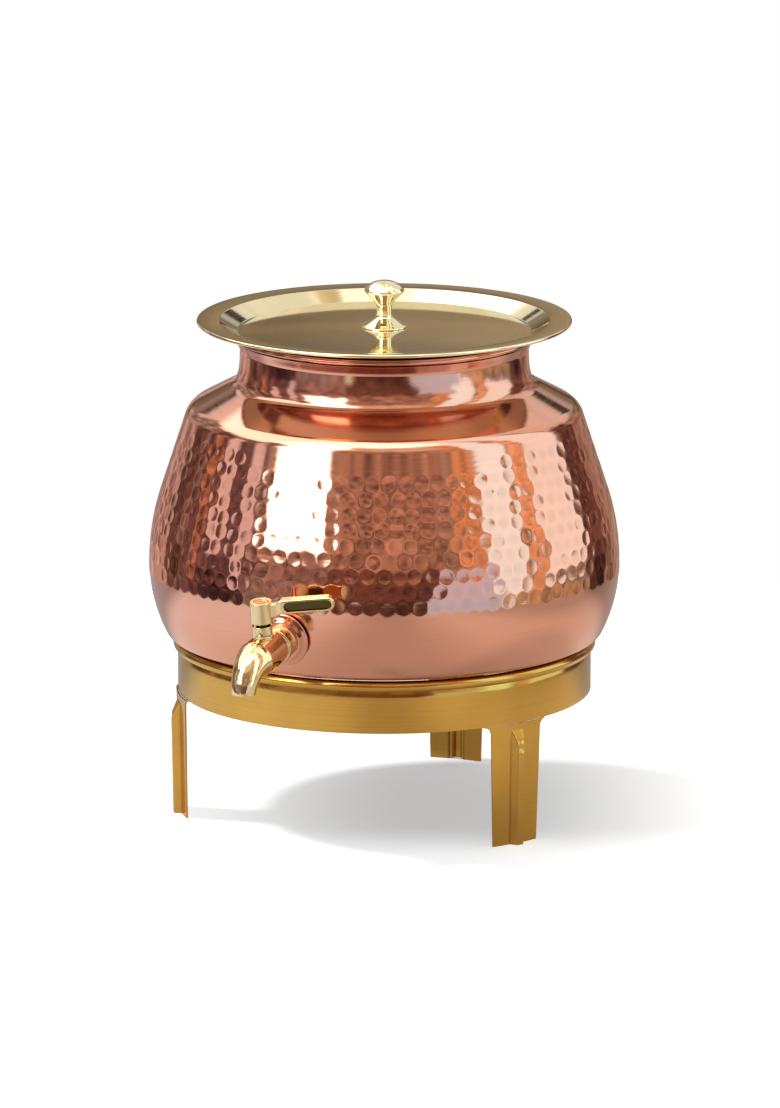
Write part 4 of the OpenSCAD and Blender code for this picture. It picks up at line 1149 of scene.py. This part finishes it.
def floor_material(azimuth):
    """White floor: lit as it is, with some white of its own to the camera and less to the metal. To the camera it
    grows to both sides of the object and to the front, so its shadow fades out there; to the metal it grows to both
    sides and to the left, and shrinks far to the right and behind."""
    material, tree, shader, where = new_material("white floor")
    light = tree.nodes.new("ShaderNodeLightPath").outputs
    to_eye, to_metal = light["Is Camera Ray"], light["Is Glossy Ray"]
    tree.links.new(mix_colour(tree, to_metal, FLOOR_COLOUR, FLOOR_TO_METAL), shader.inputs["Base Color"])
    shader.inputs["Roughness"].default_value = 0.9
    shader.inputs["Specular IOR Level"].default_value = 0.0
    place = seen_from(tree, where, azimuth)[1]
    side, depth = place["X"], place["Y"]

    def beside(mid):
        """0 near the given place across, 1 well to both sides of it."""
        away = math_node(tree, "ABSOLUTE", math_node(tree, "SUBTRACT", side, mid))
        return map_range(tree, away, FADE_FROM, FADE_TO, smooth=True)

    white = math_node(tree, "MULTIPLY_ADD", beside(SHADOW_MID), SEEN_GAIN, SEEN_LEAST)
    white = math_node(tree, "MULTIPLY_ADD", map_range(tree, depth, *FRONT, smooth=True), SEEN_FRONT, white)
    fade, left = beside(MIRROR_MID), map_range(tree, side, *LEFT)
    own = math_node(tree, "MULTIPLY_ADD", fade, MIRROR_GAIN, MIRROR_LEAST)
    own = math_node(tree, "MULTIPLY_ADD", left, MIRROR_LEFT, own)
    own = math_node(tree, "MULTIPLY_ADD", map_range(tree, side, *RIGHT), MIRROR_RIGHT, own)
    own = math_node(tree, "MULTIPLY", own, map_range(tree, depth, *BEHIND, 1.0, MIRROR_BEHIND, smooth=True))
    strength = math_node(tree, "MULTIPLY_ADD", to_eye, white, math_node(tree, "MULTIPLY", to_metal, own))
    seen_tint = mix_colour(tree, fade, SHADOW_TINT, WHITE)
    tint = mix_colour(tree, to_metal, seen_tint, mix_colour(tree, left, MIRROR_TINT, LEFT_TINT))
    glow = add_node(tree, "ShaderNodeEmission", {"Color": tint, "Strength": strength})
    both = add_node(tree, "ShaderNodeAddShader", {0: shader.outputs[0], 1: glow.outputs[0]})
    tree.links.new(both.outputs[0], tree.nodes["Material Output"].inputs["Surface"])
    return material


def sun_light(name, direction, strength, angle=12.0):
    """Distant lamp for the floor's light and shadow; the metal shows the surroundings' windows instead of it."""
    data = bpy.data.lights.new(name, "SUN")
    data.energy, data.angle = strength, math.radians(angle)
    lamp = bpy.data.objects.new(name, data)
    lamp.rotation_euler = (math.acos(direction[2]), 0.0, math.atan2(direction[0], -direction[1]))
    lamp.location = direction * 3
    lamp.visible_glossy = False
    bpy.context.scene.collection.objects.link(lamp)


CAMERA_YAW = math.radians(0.034)


class DISPENSER_OT_stage(bpy.types.Operator):
    """Makes the floor, the surroundings, the lamp and the camera"""

    bl_idname = "dispenser.stage"
    bl_label = "Stage"

    def execute(self, context):
        scene, stage = context.scene, context.scene.dispenser_stage
        scene.view_settings.view_transform = "Standard"
        a = math.radians(stage.azimuth)
        make_world(stage.azimuth)
        right = np.array([math.cos(a), math.sin(a), 0.0])
        near = np.array([math.sin(a), -math.cos(a), 0.0])
        mesh = bpy.data.meshes.new("floor")
        edge = FLOOR_REACH * unit(np.linspace(0, 360, FLOOR_SIDES, endpoint=False)) + FLOOR_AHEAD * near[:2]
        mesh.from_pydata(np.column_stack([edge, np.zeros(FLOOR_SIDES)]).tolist(), [], [list(range(FLOOR_SIDES))])
        floor = bpy.data.objects.new("floor", mesh)
        scene.collection.objects.link(floor)
        mesh.materials.append(floor_material(stage.azimuth))
        turn, rise = math.radians(stage.key_turn), math.radians(stage.key_height)
        level = math.sin(turn) * right + math.cos(turn) * near
        sun_light("key", math.cos(rise) * level + np.array([0, 0, math.sin(rise)]), stage.key_strength)
        data = bpy.data.cameras.new("camera")
        data.lens, data.sensor_width = stage.lens, 36.0
        data.clip_start, data.clip_end = 0.1, 100.0
        camera = bpy.data.objects.new("camera", data)
        camera.location = (math.sin(a) * stage.distance, -math.cos(a) * stage.distance, stage.height)
        camera.rotation_euler = (math.radians(90 - stage.pitch), 0.0, a - CAMERA_YAW)
        scene.collection.objects.link(camera)
        scene.camera = camera
        return {"FINISHED"}


class DISPENSER_PT_panel(bpy.types.Panel):
    """Lists the steps in the 3D view's sidebar"""

    bl_idname = "DISPENSER_PT_panel"
    bl_label = "Dispenser"
    bl_space_type = "VIEW_3D"
    bl_region_type = "UI"
    bl_category = "Dispenser"

    def draw(self, context):
        for step in STEPS:
            self.layout.operator(step)


STEPS = (
    "dispenser.finishes",
    "dispenser.pot",
    "dispenser.lid",
    "dispenser.stand",
    "dispenser.tap",
    "dispenser.lever",
    "dispenser.stage",
)

CLASSES = (
    PotSettings,
    BrassSettings,
    StageSettings,
    DISPENSER_OT_finishes,
    DISPENSER_OT_pot,
    DISPENSER_OT_lid,
    DISPENSER_OT_stand,
    DISPENSER_OT_tap,
    DISPENSER_OT_lever,
    DISPENSER_OT_stage,
    DISPENSER_PT_panel,
)


def register():
    """Registers the classes and puts their settings on the scene."""
    for c in CLASSES:
        bpy.utils.register_class(c)
    bpy.types.Scene.dispenser_pot = PointerProperty(type=PotSettings)
    bpy.types.Scene.dispenser_brass = PointerProperty(type=BrassSettings)
    bpy.types.Scene.dispenser_stage = PointerProperty(type=StageSettings)


def unregister():
    """Takes the settings and the classes away again."""
    del bpy.types.Scene.dispenser_pot
    del bpy.types.Scene.dispenser_brass
    del bpy.types.Scene.dispenser_stage
    for c in reversed(CLASSES):
        bpy.utils.unregister_class(c)


def main():
    """Runs all steps in order."""
    register()
    for step in STEPS:
        group, name = step.split(".")
        getattr(getattr(bpy.ops, group), name)()


if __name__ == "__main__":
    main()
